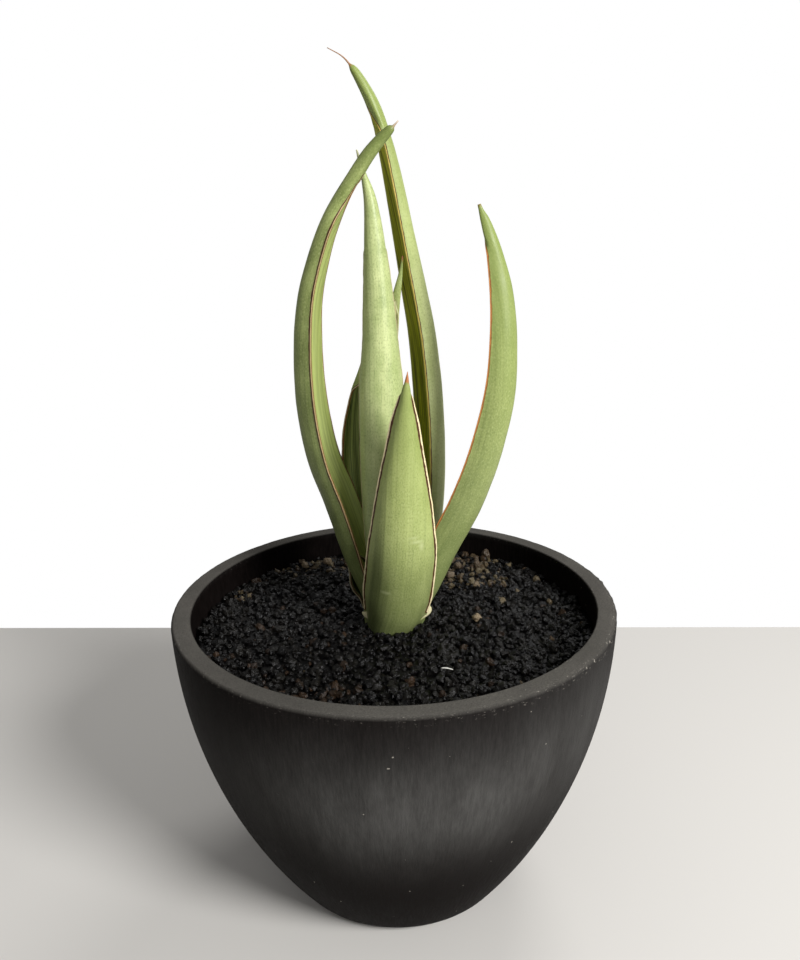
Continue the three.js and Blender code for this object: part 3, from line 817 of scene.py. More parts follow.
@dataclass
class Planter:
    """The moulded pot, turned from one closed outline. Sizes are in millimetres."""

    finish: Finish
    rim_radius: float = 125
    foot_radius: float = 66
    height: float = 175
    rim_wall: float = 10.5
    side_wall: float = 8
    floor: float = 9
    rim_rounding: float = 1.6
    inner_rounding: float = 0.9
    foot_rounding: float = 3
    foot_ring: float = 13
    foot_recess: float = 2.5
    drain_radius: float = 7
    belly: tuple[float, float, float] = (0.36, 0.17, 0.53)
    # Where the side is lightened as a painted highlight: turn and reach in degrees, height and reach, and how much.
    painted_highlights: Sequence[tuple[float, float, float, float, float]] = (
        (-86, 42, 120, 36, 0.8), (-38, 28, 145, 45, 0.3), (58, 40, 100, 55, 0.5), (152, 34, 90, 50, 0.5),
    )
    # Burrs on the rim's corner: turn in degrees and how far they stand out.
    burrs: Sequence[tuple[float, float]] = ((6, 0.9), (9, 0.6), (13, 0.8), (-28, 0.5), (-52, 0.4), (28, 0.4))
    turns: int = 288
    side_steps: int = 44

    def outer(self, height: float) -> float:
        """Radius of the side at a height.

        Args:
            height: above the ground.

        Returns:
            The radius.
        """
        low, high = 0.0, 1.0
        flare = self.rim_radius - self.foot_radius
        xs = (self.foot_radius, self.foot_radius + self.belly[0] * flare, self.rim_radius, self.rim_radius)
        ys = (0, self.belly[1] * self.height, self.belly[2] * self.height, self.height)
        for _ in range(40):
            t = (low + high) / 2
            weights = ((1 - t) ** 3, 3 * t * (1 - t) ** 2, 3 * t * t * (1 - t), t**3)
            if sum(w * y for w, y in zip(weights, ys)) < height:
                low = t
            else:
                high = t
        return sum(w * x for w, x in zip(weights, xs))

    def inner(self, height: float) -> float:
        """Radius of the inside at a height.

        Args:
            height: above the ground.

        Returns:
            The radius.
        """
        share = min(max(height / self.height, 0), 1)
        return self.outer(height) - self.side_wall - (self.rim_wall - self.side_wall) * share

    def outline(self) -> list[tuple[float, float, float, float]]:
        """Draws the pot's closed outline.

        Returns:
            Radius, height, how much it is the sanded rim, and how much a corner that wears.
        """

        def arc(centre: tuple[float, float], radius: float, start: float, end: float, steps: int) -> list:
            """Points along an arc, with its angles in degrees."""
            angles = np.radians(np.linspace(start, end, steps + 1))
            return [(centre[0] + radius * math.cos(a), centre[1] + radius * math.sin(a)) for a in angles]

        top, rim, fr = self.height, self.rim_radius, self.foot_rounding
        ring = self.foot_radius - self.foot_ring
        under = [(self.drain_radius, self.foot_recess), (ring - self.foot_recess, self.foot_recess), (ring, 0)]
        foot = arc((self.foot_radius - fr, fr), fr, -90, -35, 5)
        heights = np.linspace(2 * fr, top - self.rim_rounding, self.side_steps)[:-1]
        side = [(self.outer(z), z) for z in heights]
        shoulder = arc((rim - self.rim_rounding, top - self.rim_rounding), self.rim_rounding, 0, 90, 6)
        lands = [(rim - self.rim_rounding - f * (self.rim_wall - 2.5), top) for f in (0.15, 0.4, 0.7)]
        inner = self.inner_rounding
        lip = arc((rim - self.rim_wall + inner, top - inner), inner, 90, 180, 4)
        inside = [(self.inner(z), z) for z in np.linspace(top - 4, self.floor + 4, self.side_steps // 2)]
        bed = [(self.inner(self.floor) - self.side_wall / 2, self.floor), (self.drain_radius, self.floor)]
        marked = [(r, z, 0.0, 0.0) for r, z in under + foot + side]
        marked += [(r, z, k / 6, 1.0) for k, (r, z) in enumerate(shoulder)]
        marked += [(r, z, 1.0, 0.35 if k == 0 else 0.0) for k, (r, z) in enumerate(lands)]
        marked += [(r, z, 1.0 - 0.25 * k, 0.5) for k, (r, z) in enumerate(lip)]
        return marked + [(r, z, 0.0, 0.0) for r, z in inside + bed]

    def mesh(self) -> bpy.types.Mesh:
        """Turns the outline round the pot's axis, and knocks its rim about a little.

        Returns:
            The mesh: wall is the place on an even drum in millimetres; land, corner and haze are shares.
        """
        outline = np.array(self.outline())
        turn = np.linspace(0, 2 * math.pi, self.turns, endpoint=False)
        cos, sin = np.cos(turn)[:, None], np.sin(turn)[:, None]
        radius = np.repeat(outline[None, :, 0], self.turns, axis=0)
        height = np.repeat(outline[None, :, 1], self.turns, axis=0)
        corner = outline[None, :, 3]
        right = np.exp(-((np.angle(np.exp(1j * (turn - math.radians(-20)))) / 0.75) ** 2))[:, None]
        dents = wave(turn * self.rim_radius / 6, 2.0, 4)[:, None]
        radius = radius + corner * (0.12 * dents + 0.3 * right * dents)
        burrs = np.zeros((self.turns, 1))
        for degrees, tall in self.burrs:
            burrs[:, 0] += tall * np.exp(-(((np.degrees(np.angle(np.exp(1j * turn))) - degrees) / 0.7) ** 2))
        radius = radius + burrs * (corner == 1.0)
        height = height - corner * 0.18 * np.abs(dents) * (1 + 2 * right) * (corner == 1.0)
        rings = np.stack([radius * cos, radius * sin, height], -1)
        count = len(outline)
        at = np.arange(self.turns)[:, None] * count + np.arange(count)[None, :]
        after = (np.arange(self.turns)[:, None] + 1) % self.turns * count + np.arange(count)[None, :]
        quads = np.stack([at, after, np.roll(after, -1, axis=1), np.roll(at, -1, axis=1)], -1)
        mesh = bpy.data.meshes.new("planter")
        mesh.from_pydata((rings.reshape(-1, 3) * MM).tolist(), [], quads.reshape(-1, 4).tolist())
        smooth(mesh)
        drum = np.stack([self.rim_radius * cos + 0 * height, self.rim_radius * sin + 0 * height, height], -1)
        inwards = np.where(outline[None, :, 2:3] > 0.5, radius[..., None] / self.rim_radius, 1.0)
        store(mesh, "wall", (drum * inwards).reshape(-1, 3))
        store(mesh, "land", np.repeat(outline[None, :, 2], self.turns, 0).ravel())
        store(mesh, "corner", (corner * np.clip(0.25 + right, 0, 1)).ravel())
        # Painted highlights: broad lighter patches on the outside of the pot.
        highlight_sum = np.zeros(height.shape)
        for degrees, reach, at, tall, share in self.painted_highlights:
            off = np.degrees(np.angle(np.exp(1j * (turn - math.radians(degrees)))))[:, None]
            highlight_sum += share * np.exp(-((off / reach) ** 2) - ((height - at) / tall) ** 2)
        outside = np.arange(count)[None, :] < len(outline) - self.side_steps // 2 - 2
        store(mesh, "haze", (highlight_sum * outside).ravel())
        return mesh

    def build(self) -> None:
        """Builds and dresses the pot."""
        mesh = self.mesh()
        mesh.materials.append(self.finish.material())
        piece("planter", mesh, ["pot"])


# ---------------------------------------------------------------- dressing


@dataclass
class Dressing:
    """The bed of lava grit with its loose granules and stray pale stones. Sizes are in millimetres."""

    grit: Finish
    pumice: Finish
    radius: float = 113.6
    depth: float = 19.5
    mound: float = 3.0
    ripple: float = 0.9
    spacing: float = 2.2
    small: float = 1.2  # half the size of the smallest granules
    large: float = 3.2  # and of the largest
    bands: Sequence[tuple[float, float]] = ((0, 62), (62, 88), (88, 113))
    shapes: int = 7
    pale_areas: Sequence[tuple[float, float, float, float]] = ()  # x, y, reach, strength
    rusty_areas: Sequence[tuple[float, float, float, float]] = ()
    stones: Sequence[tuple[float, float, Point, float]] = ()  # x, y, size, turn in degrees
    sliver: tuple[float, float] = (26.0, -65.5)  # x, y of the white sliver's middle
    sink: float = 2.6  # how far the bed lies below the surface
    rough: float = 1.3  # height of the bed's bumps
    lift: tuple[float, float] = (-1.9, 2.3)  # lowest and highest that a granule lies over the bed
    bias: float = 1.8  # over 1, more of the granules are small
    pale_chance: float = 0.003
    rusty_chance: float = 0.025
    seed: int = 3

    def surface(self, x: float, y: float) -> float:
        """Height of the dressing's surface over a point in plan.

        Args:
            x: to the right.
            y: to the back.

        Returns:
            The height above the ground.
        """
        share = math.hypot(x, y) / 114.5
        ripple = math.sin(x / 17 + 0.6) * math.cos(y / 21) + 0.6 * math.sin((x + 2 * y) / 31)
        return DRESSING - self.mound * share**2 + self.ripple * ripple

    def bed_mesh(self) -> bpy.types.Mesh:
        """Builds the bed that the granules lie on, a little below the surface. Its near-black tone is painted
        shade between the granules.

        Returns:
            A closed mesh.
        """
        turns, rings = 150, 34
        shares = np.linspace(1, 0.02, rings)
        points = []
        for k in range(2):
            for share in shares[:: 1 if k else -1] if k else (0.02, 1.0):
                row = []
                for a in np.linspace(0, 2 * math.pi, turns, endpoint=False):
                    x, y = self.radius * share * math.cos(a), self.radius * share * math.sin(a)
                    if k:
                        bump = noise.fractal(Vector((x / 5, y / 5, 1.5)), 1.0, 2.0, 3)
                        row.append((x, y, self.surface(x, y) - self.sink + self.rough * bump))
                    else:
                        row.append((x * 0.985, y * 0.985, DRESSING - self.depth))
                points.append(row)
        mesh = loft(np.array(points), "grit_bed")
        # Painted shade: with no tone the bed takes the darkest colour, near black, for the shade in the gaps between
        # granules.
        for name in ("tone", "tint"):
            store(mesh, name, np.zeros(len(mesh.vertices)))
        return mesh

    def granule_shapes(self) -> bpy.types.Collection:
        """Breaks a few lumps of stone, each a ball with pits and knobs.

        Returns:
            A hidden collection of them, each about 2 units across.
        """
        rng = np.random.default_rng(11)
        made = bpy.data.collections.new("granule shapes")
        for k in range(self.shapes):
            form = bmesh.new()
            bmesh.ops.create_icosphere(form, subdivisions=2, radius=1)
            squash = rng.uniform(0.66, 1.15, 3)
            for v in form.verts:
                knob = noise.noise(v.co * 1.9 + Vector((k * 5.3, 1, 2)))
                v.co *= 0.98 + 0.55 * knob + rng.uniform(-0.1, 0.08)
                v.co = Vector(c * s for c, s in zip(v.co, squash))
            mesh = bpy.data.meshes.new(f"granule_{k}")
            form.to_mesh(mesh)
            form.free()
            made.objects.link(bpy.data.objects.new(f"granule_{k}", mesh))
        return made

    def scatter_tree(self, shapes: bpy.types.Collection) -> bpy.types.NodeTree:
        """Builds the Geometry Nodes tree that strews granules over a surface.

        Args:
            shapes: the granules to pick from.

        Returns:
            The tree, with named inputs for its sizes, its seed and its material.
        """
        tree = bpy.data.node_groups.new("strew granules", "GeometryNodeTree")
        face = tree.interface
        face.new_socket("Geometry", in_out="INPUT", socket_type="NodeSocketGeometry")
        for name, kind, value in (
            ("Spacing", "NodeSocketFloat", self.spacing * MM),
            ("Smallest", "NodeSocketFloat", self.small * MM),
            ("Largest", "NodeSocketFloat", self.large * MM),
            ("Inner radius", "NodeSocketFloat", 0.0),
            ("Outer radius", "NodeSocketFloat", self.radius * MM),
            ("Seed", "NodeSocketInt", 1),
        ):
            face.new_socket(name, in_out="INPUT", socket_type=kind).default_value = value
        face.new_socket("Material", in_out="INPUT", socket_type="NodeSocketMaterial")
        face.new_socket("Geometry", in_out="OUTPUT", socket_type="NodeSocketGeometry")

        def chance(low: float, high: float, seed: int) -> bpy.types.NodeSocket:
            """Draws a random number for each granule."""
            made = add(tree, "FunctionNodeRandomValue", {2: low, 3: high, "Seed": seed}, data_type="FLOAT")
            return made.outputs[1]

        given = add(tree, "NodeGroupInput").outputs
        where = add(tree, "GeometryNodeInputPosition").outputs[0]
        flat = add(tree, "ShaderNodeVectorMath", {0: where, 1: (1, 1, 0)}, operation="MULTIPLY")
        reach = add(tree, "ShaderNodeVectorMath", {0: flat.outputs[0]}, operation="LENGTH").outputs["Value"]
        strewn = add(
            tree,
            "GeometryNodeDistributePointsOnFaces",
            {"Mesh": given["Geometry"], "Distance Min": given["Spacing"], "Density Max": 9e5, "Seed": given["Seed"]},
            distribute_method="POISSON",
        )
        beyond = add(tree, "FunctionNodeCompare", {0: reach, 1: given["Outer radius"]}, operation="GREATER_THAN")
        within = add(tree, "FunctionNodeCompare", {0: reach, 1: given["Inner radius"]}, operation="LESS_EQUAL")
        other = add(tree, "FunctionNodeBooleanMath", {0: beyond.outputs[0], 1: within.outputs[0]}, operation="OR")
        band = add(
            tree, "GeometryNodeDeleteGeometry", {0: strewn.outputs["Points"], 1: other.outputs[0]}, domain="POINT"
        )
        lumps = add(
            tree,
            "GeometryNodeCollectionInfo",
            {"Collection": shapes, "Separate Children": True, "Reset Children": True},
        )
        whole_turn = {0: (0, 0, 0), 1: (6.283, 6.283, 6.283), "Seed": 4}
        turn = add(tree, "FunctionNodeRandomValue", whole_turn, data_type="FLOAT_VECTOR")
        # Most granules are small: a power bends the share before it sets the size.
        bent = add(tree, "ShaderNodeMath", {0: chance(0.0, 1.0, 5), 1: self.bias}, operation="POWER").outputs[0]
        size = add(tree, "ShaderNodeMapRange", {0: bent, 3: given["Smallest"], 4: given["Largest"]}).outputs[0]
        laid = add(
            tree,
            "GeometryNodeInstanceOnPoints",
            {
                "Points": band.outputs[0],
                "Instance": lumps.outputs[0],
                "Pick Instance": True,
                "Rotation": turn.outputs[0],
                "Scale": size,
            },
        )
        lift = chance(self.lift[0] * MM, self.lift[1] * MM, 6)
        drop = add(tree, "ShaderNodeCombineXYZ", {2: lift})
        heaped = add(
            tree,
            "GeometryNodeTranslateInstances",
            {0: laid.outputs[0], "Translation": drop.outputs[0], "Local Space": False},
        )
        toned = add(
            tree,
            "GeometryNodeStoreNamedAttribute",
            {0: heaped.outputs[0], "Name": "tone", "Value": chance(0.0, 1.0, 7)},
            data_type="FLOAT",
            domain="INSTANCE",
        )
        whole = add(tree, "GeometryNodeRealizeInstances", {0: toned.outputs[0]})
        clad = add(tree, "GeometryNodeSetMaterial", {0: whole.outputs[0], "Material": given["Material"]})
        add(tree, "NodeGroupOutput", {0: clad.outputs[0]})
        return tree

    def tints(self, mesh: bpy.types.Mesh) -> None:
        """Gives each granule a tint of rust or pale stone, by where it lies and by chance.

        Args:
            mesh: loose granules, each with one tone of its own.
        """
        count = len(mesh.vertices)
        place = np.zeros(count * 3, np.float32)
        mesh.vertices.foreach_get("co", place)
        place = place.reshape(-1, 3) / MM
        tone = np.zeros(count, np.float32)
        mesh.attributes["tone"].data.foreach_get("value", tone)
        # A granule's tone is one random number, so its digits give another that all its corners share.
        chance = (tone * 977.0) % 1.0
        pale, rust = np.full(count, self.pale_chance), np.full(count, self.rusty_chance)
        for areas, share in ((self.pale_areas, pale), (self.rusty_areas, rust)):
            for x, y, reach, strength in areas:
                near = ((place[:, 0] - x) ** 2 + (place[:, 1] - y) ** 2) / reach**2
                share += strength * np.exp(-near)
        tint = np.where(chance < pale, 0.6 + 0.4 * (tone * 131 % 1.0), 0.0)
        rusty = (chance > 1 - rust) & (tint == 0)
        store(mesh, "tint", np.where(rusty, 0.15 + 0.3 * (tone * 57 % 1.0), tint))

    def build_granules(self, bed: bpy.types.Mesh) -> None:
        """Strews the granules, in rings that are each one piece.

        Args:
            bed: the bed's mesh.
        """
        shapes = self.granule_shapes()
        tree = self.scatter_tree(shapes)
        material = self.grit.material()
        keys = {item.name: item.identifier for item in tree.interface.items_tree if item.in_out == "INPUT"}
        ground = bpy.data.meshes.new("strewing ground")
        top = [p for p in bed.polygons if p.normal.z > 0.3]
        used = sorted({v for p in top for v in p.vertices})
        number = {v: i for i, v in enumerate(used)}
        ground.from_pydata([bed.vertices[v].co[:] for v in used], [], [[number[v] for v in p.vertices] for p in top])
        for k, (inner, outer) in enumerate(self.bands):
            maker = bpy.data.objects.new("granule maker", ground)
            bpy.context.scene.collection.objects.link(maker)
            modifier = maker.modifiers.new("granules", "NODES")
            modifier.node_group = tree
            last = k == len(self.bands) - 1  # the outermost ring stops short of the pot's wall
            given = {
                "Inner radius": inner * MM,
                "Outer radius": (outer - 1.0 * last) * MM,
                "Spacing": self.spacing * MM,
                "Smallest": self.small * MM,
                "Largest": self.large * MM,
                "Seed": self.seed,
                "Material": material,
            }
            for name, value in given.items():
                modifier[keys[name]] = value
            bpy.context.view_layer.update()
            done = maker.evaluated_get(bpy.context.evaluated_depsgraph_get())
            mesh = bpy.data.meshes.new_from_object(done)
            mesh.name = f"granules_{k + 1}"
            bpy.data.objects.remove(maker)
            self.tints(mesh)
            piece(f"granules_{k + 1}", mesh)
        for lump in list(shapes.objects):
            bpy.data.objects.remove(lump)
        bpy.data.collections.remove(shapes)

    def build_stones(self) -> None:
        """Builds the stray pale stones, each in place of its CAD solid."""
        material = self.pumice.material()
        for k, (x, y, size, turn) in enumerate(self.stones):
            form = bmesh.new()
            bmesh.ops.create_icosphere(form, subdivisions=4, radius=1)
            for v in form.verts:
                lump = noise.fractal(v.co * 1.3 + Vector((k * 3.1, 0, 0)), 1.0, 2.0, 2)
                pit = abs(noise.fractal(v.co * 2.6 + Vector((0, k * 2.3, 0)), 1.0, 2.0, 4))
                v.co *= 1 + 0.3 * lump - 0.2 * pit
                v.co = Vector(c * s / 2 for c, s in zip(v.co, size))
            turned = Matrix.Rotation(math.radians(turn), 4, "Z")
            lifted = Matrix.Translation((x, y, self.surface(x, y) + 0.2 * size[2] + 0.5))
            form.transform(Matrix.Scale(MM, 4) @ lifted @ turned)
            mesh = bpy.data.meshes.new(f"stone_{k + 1}")
            form.to_mesh(mesh)
            form.free()
            smooth(mesh)
            store(mesh, "tone", np.full(len(mesh.vertices), 0.3 + 0.09 * k))
            store(mesh, "tint", np.zeros(len(mesh.vertices)))
            mesh.materials.append(material)
            piece(f"stray_stone_{k + 1}", mesh, [f"pale_stone_{k + 1}"])

    def build_sliver(self) -> None:
        """Builds a bent white sliver of perlite that lies on the grit."""
        x, y = self.sliver
        length, half_width, high = 6, 0.5, 3.4
        turn = np.linspace(0, 2 * math.pi, 10, endpoint=False)
        rings = []
        for share in np.linspace(0, 1, 9):
            wide = half_width * math.sin(math.pi * (0.08 + 0.84 * share)) ** 0.6
            along = x + length * (share - 0.5)
            aside = y + 0.5 * math.sin(4 * share)
            over = self.surface(x, y) + high - 0.8 * share
            ring = [along + 0 * turn, aside + wide * np.cos(turn), over + 0.5 * wide * np.sin(turn)]
            rings.append(np.stack(ring, -1))
        mesh = loft(np.array(rings), "sliver")
        mesh.materials.append(Plain("white perlite", "#c9c7c0").material())
        piece("white_sliver", mesh)

    def build(self) -> None:
        """Builds the bed, the granules, the stones and the sliver."""
        bed = self.bed_mesh()
        bed.materials.append(self.grit.material())
        piece("grit_bed", bed, ["grit_dressing"])
        self.build_granules(bed)
        self.build_stones()
        self.build_sliver()


# ---------------------------------------------------------------- the whole plant


LEAVES = (
    Leaf(
        node="leaf_centre",
        facing=(90, 90),
        spine=(
            (-1, -4, -24), (-2, -5, 6), (-4, -5, 48), (-5, -3, 94), (-4.6, 0, 127),
            (-4.4, 2, 159), (-5.7, 5, 199), (-7.9, 7, 229), (-10.8, 8, 241), (-14, 10, 253),
        ),
        sections=(
            (0, 17, 8, 2), (0.12, 19, 9.5, 4), (0.3, 23, 11, 6), (0.55, 23.5, 10.5, 6), (0.66, 18.5, 8.5, 4.5),
            (0.8, 12.7, 6, 2.5), (0.89, 7.8, 4.2, -1.5), (0.93, 5.2, 2.8, -2), (0.953, 3.2, 1.6, -1.4),
            (0.97, 2.3, 1.1, -1), (0.985, 1.8, 0.9, -0.8), (1, 0.9, 0.4, -0.4),
        ),
        skin=LeafSkin(
            "waxy leaf, pale sage", light="#c2cb8f", dark="#9dab6e", line="#6f6a44", line_mm=0.2, dead="#dcdcb8",
            dead_vein="#b9b98c",
        ),
        dry_from=0.955,
        closed=0.86,
        seed=1,
    ),
    Leaf(
        node="leaf_back",
        facing=(262, 262),
        spine=(
            (2, 8, -24), (0, 9.5, 20), (-2, 11, 78), (-2, 12, 124), (1, 13, 157), (4.5, 13.5, 179),
            (7, 14, 191), (8.5, 14, 201),
        ),
        sections=(
            (0, 13, 6, 2), (0.25, 14, 7, 4), (0.6, 12, 5.5, 3), (0.8, 8, 4, 1.5), (0.92, 4, 2, -1), (1, 1, 0.5, -0.5),
        ),
        skin=LeafSkin("waxy leaf, young", line="#8c8a5a", inner_line="#9a945e", crest="#c9cc98"),
        dry_from=0.985,
        seed=2,
    ),
    Leaf(
        node="leaf_tall",
        facing=(200, 196),
        spine=(
            (8, 2, -24), (11, 5, 10), (15, 8, 43), (17.7, 12, 68), (18.2, 16, 101), (17.2, 18, 124), (14.6, 20, 157),
            (11.3, 20, 179), (7.9, 20, 200), (3.0, 19, 230), (-1.3, 18, 254), (-5.7, 16, 273), (-9.5, 15, 282),
            (-15, 14, 291), (-19.5, 13, 296), (-27, 12, 300),
        ),
        sections=(
            (0, 17, 8, 2), (0.15, 21.5, 11.5, 5), (0.42, 22.5, 12.8, 7), (0.58, 20, 11.4, 6.5), (0.72, 16, 8.9, 4.5),
            (0.83, 12.2, 6.8, 2.5), (0.875, 9.4, 5.2, -2), (0.92, 6.4, 3.4, -2.4), (0.95, 4.2, 2.3, -1.8),
            (0.957, 2.8, 1.5, -1.2), (0.961, 0.9, 0.5, -0.5), (1, 0.4, 0.2, -0.2),
        ),
        skin=LeafSkin(
            "waxy leaf, deep channel", shade=Shade.SHADED, light="#c3cb8f", dark="#a5b070", channel="#b6ba2e",
            # Painted light: the pale foot colour lightens the lower leaf where the right leaf shades it.
            channel_shade="#4b4d17", inner_line="#b4ae34", foot="#ccd49c", painted_foot_shading_reach=170.0, painted_foot_shading_share=0.6,
            # The crest is the real papery margin; its yellow is painted light shining through it.
            tip="#71822f", tip_from=0.55, crest="#b7a44e", dead="#b89a72",
        ),
        dry_from=0.957,
        dry_over=0.003,
        closed=0.9,
        closing=0.055,
        seed=3,
    ),
    Leaf(
        node="leaf_left",
        facing=(-25, -12),
        spine=(
            (-3, 0, -24), (-4.5, 0.5, 0), (-9, 1, 17), (-14, 2, 36), (-19, 3, 54), (-24.6, 3.5, 72), (-32, 4, 93),
            (-36.4, 5, 115), (-38.4, 5, 137), (-38.4, 5, 159), (-36.7, 5, 180), (-31.7, 4, 200), (-24.5, 2, 219.6),
            (-14.2, 0, 238.2), (-7.2, -2, 249), (-1, -4, 256.2), (4, -6, 261), (7, -7, 264),
        ),
        sections=(
            (0, 15, 7, 3), (0.12, 19, 10.6, 4.5), (0.175, 20.5, 13.4, 6), (0.21, 21, 14.8, 7), (0.26, 21, 15.6, 7.5),
            (0.47, 19, 14.4, 7), (0.61, 16.5, 12.7, 6), (0.7, 14, 10.6, 5), (0.79, 11.5, 8.4, 3.4), (0.86, 8.5, 6.4, 1),
            (0.89, 7.4, 5.4, -2), (0.94, 6.4, 4, -2.4), (0.97, 5, 3, -2.2), (0.984, 3.8, 2.2, -1.7),
            (0.989, 1.2, 0.7, -0.6), (1, 0.6, 0.3, -0.3),
        ),
        skin=LeafSkin(
            "waxy leaf, green", light="#a4b06c", dark="#7c884b", channel="#a5b067", dead="#d8c6ae", foot="#363f1e",
            painted_foot_shading_reach=200.0, painted_foot_shading_share=0.74, crest="#c2ab7c", crest_mm=0.24, line_mm=0.75, tip_from=0.9,
        ),
        closed=0.905,
        closing=0.13,
        dry_from=0.986,
        dry_over=0.006,
        seed=4,
    ),
    Leaf(
        node="leaf_right",
        facing=(152, 155),
        spine=(
            (6, -5, -24), (8.4, -6, 6), (18.6, -8, 37), (26.7, -10, 56.2), (35, -12, 74.1), (43.5, -14, 96.8),
            (49.4, -15, 118.4), (53.2, -16, 139), (54.4, -16, 159), (54, -15, 179), (51.6, -14, 199), (48.8, -14, 213),
            (45.5, -14, 225),
        ),
        sections=(
            (0, 17, 9, 2), (0.13, 20, 10.6, 5.5), (0.2, 21.5, 13, 6.5), (0.4, 22, 14.6, 7), (0.6, 21, 13.4, 7),
            (0.72, 19, 11.5, 5.5), (0.84, 14.5, 9.2, 3.2), (0.89, 11, 7.2, 1.4), (0.925, 8.5, 5.6, -0.8),
            (0.97, 4.6, 3.2, -1.2), (1, 1.8, 1, -0.8),
        ),
        skin=LeafSkin(
            "waxy leaf, orange margin", light="#a0aa69", dark="#8a9659", line="#7e4a20", inner_line="#a05a20",
            crest="#bd8044", dead="#8a6a3c", line_mm=0.35, tip="#7f8e48", tip_from=0.45,
        ),
        dry_from=0.993,
        closed=0.955,
        frays=(0.27, 0.285, 0.3, 0.36, 0.375, 0.41, 0.46),
        seed=5,
    ),
    Leaf(
        node="leaf_back_left",
        facing=(-72, -70),
        spine=(
            (-5, 9, -24), (-8, 12, 10), (-13, 15, 40), (-18, 17, 68), (-19.5, 19, 100), (-17.5, 21, 125),
            (-14.5, 22, 140), (-12.5, 22, 152),
        ),
        sections=(
            (0, 15, 7, 2), (0.25, 19, 9, 5), (0.5, 20, 8.5, 6), (0.7, 17, 7, 5), (0.85, 10, 4.5, 3), (0.95, 4, 2, 0.8),
            (1, 1, 0.5, -0.4),
        ),
        skin=LeafSkin("waxy leaf, shaded", shade=Shade.SHADED, channel="#9aa660"),
        dry_from=0.985,
        seed=6,
    ),
    Leaf(
        node="leaf_front",
        facing=(83, 90),
        spine=(
            (-2.6, -9, -24), (-2.8, -10, -2), (0.8, -14.5, 14), (4.3, -18.5, 42), (5.6, -21.5, 66), (6.2, -24, 89),
            (6.9, -27, 111), (7.5, -30, 127), (8.5, -33, 141), (9, -34, 147),
        ),
        sections=(
            (0, 20, 11, 6), (0.12, 26.5, 12.5, 8), (0.16, 30.5, 13, 9.5), (0.2, 34.2, 13.3, 10),
            (0.27, 37.4, 13.5, 10), (0.38, 37.4, 14, 10.5), (0.52, 32.6, 12.5, 8.5), (0.65, 25.5, 9.5, 6),
            (0.78, 17, 6.5, 3.5), (0.88, 10, 4, 1.5), (0.95, 4.2, 2.2, -1.4), (0.965, 2.6, 1.3, -0.9),
            (0.982, 1.5, 0.8, -0.5), (1, 0.4, 0.2, -0.2),
        ),
        skin=LeafSkin(
            "waxy leaf, broad", light="#b2bc77", dark="#9ca864", line="#4a2a14", crest="#ecdcb0", dead="#cf8a55",
            crest_mm=0.4, line_mm=0.75, tip="#87944f", tip_from=0.5, foot="#3a4326", painted_foot_shading_reach=62.0,
            painted_foot_shading_share=0.62, painted_shade_colour="#2e361c",
        ),
        dry_from=0.966,
        dry_over=0.006,
        closed=0.965,
        lined_from=8.5,
        flange=1.8,
        # Patches of painted shade on the front leaf's lower left.
        painted_shade_patches=((-10, 34, 34, 7.0), (-14, 60, 30, 4.0)),
        scuffs=((8.5, 84.5, 0.7, 3.0), (12.0, 82, 2.2, 0.7), (6.5, 87, 0.5, 2.4), (-6.5, 53, 0.8, 1.6)),
        seed=7,
    ),
    Leaf(
        node="scale_leaf",
        facing=(-72, -68),
        spine=(
            (-5, 3, -20), (-7.8, 3.2, 0), (-10.2, 3.6, 7), (-12.2, 4, 14), (-16, 4.4, 20.5), (-21.4, 5, 30),
            (-29.4, 6, 39),
        ),
        sections=(
            (0, 15, 6, 5), (0.3, 16.5, 8, 7), (0.45, 17.5, 8.6, 7.6), (0.53, 18.5, 9, 8), (0.63, 19.5, 9, 8),
            (0.8, 12, 6, 5), (0.92, 5.4, 2.6, 1.8), (1, 1, 0.6, 0.2),
        ),
        skin=LeafSkin(
            # Painted shade: the dark channel colour stands for the shade inside the sheath.
            "dry sheath", light="#5e6a38", dark="#4a552c", channel="#3a4620", line="#3a2416", inner_line="#4a2e1a",
            crest="#a39c7c",
        ),
        closed=1.2,
        flange=0.9,
        slot=Slot.SHEATH,
        seed=8,
        rings=60,
    ),
)


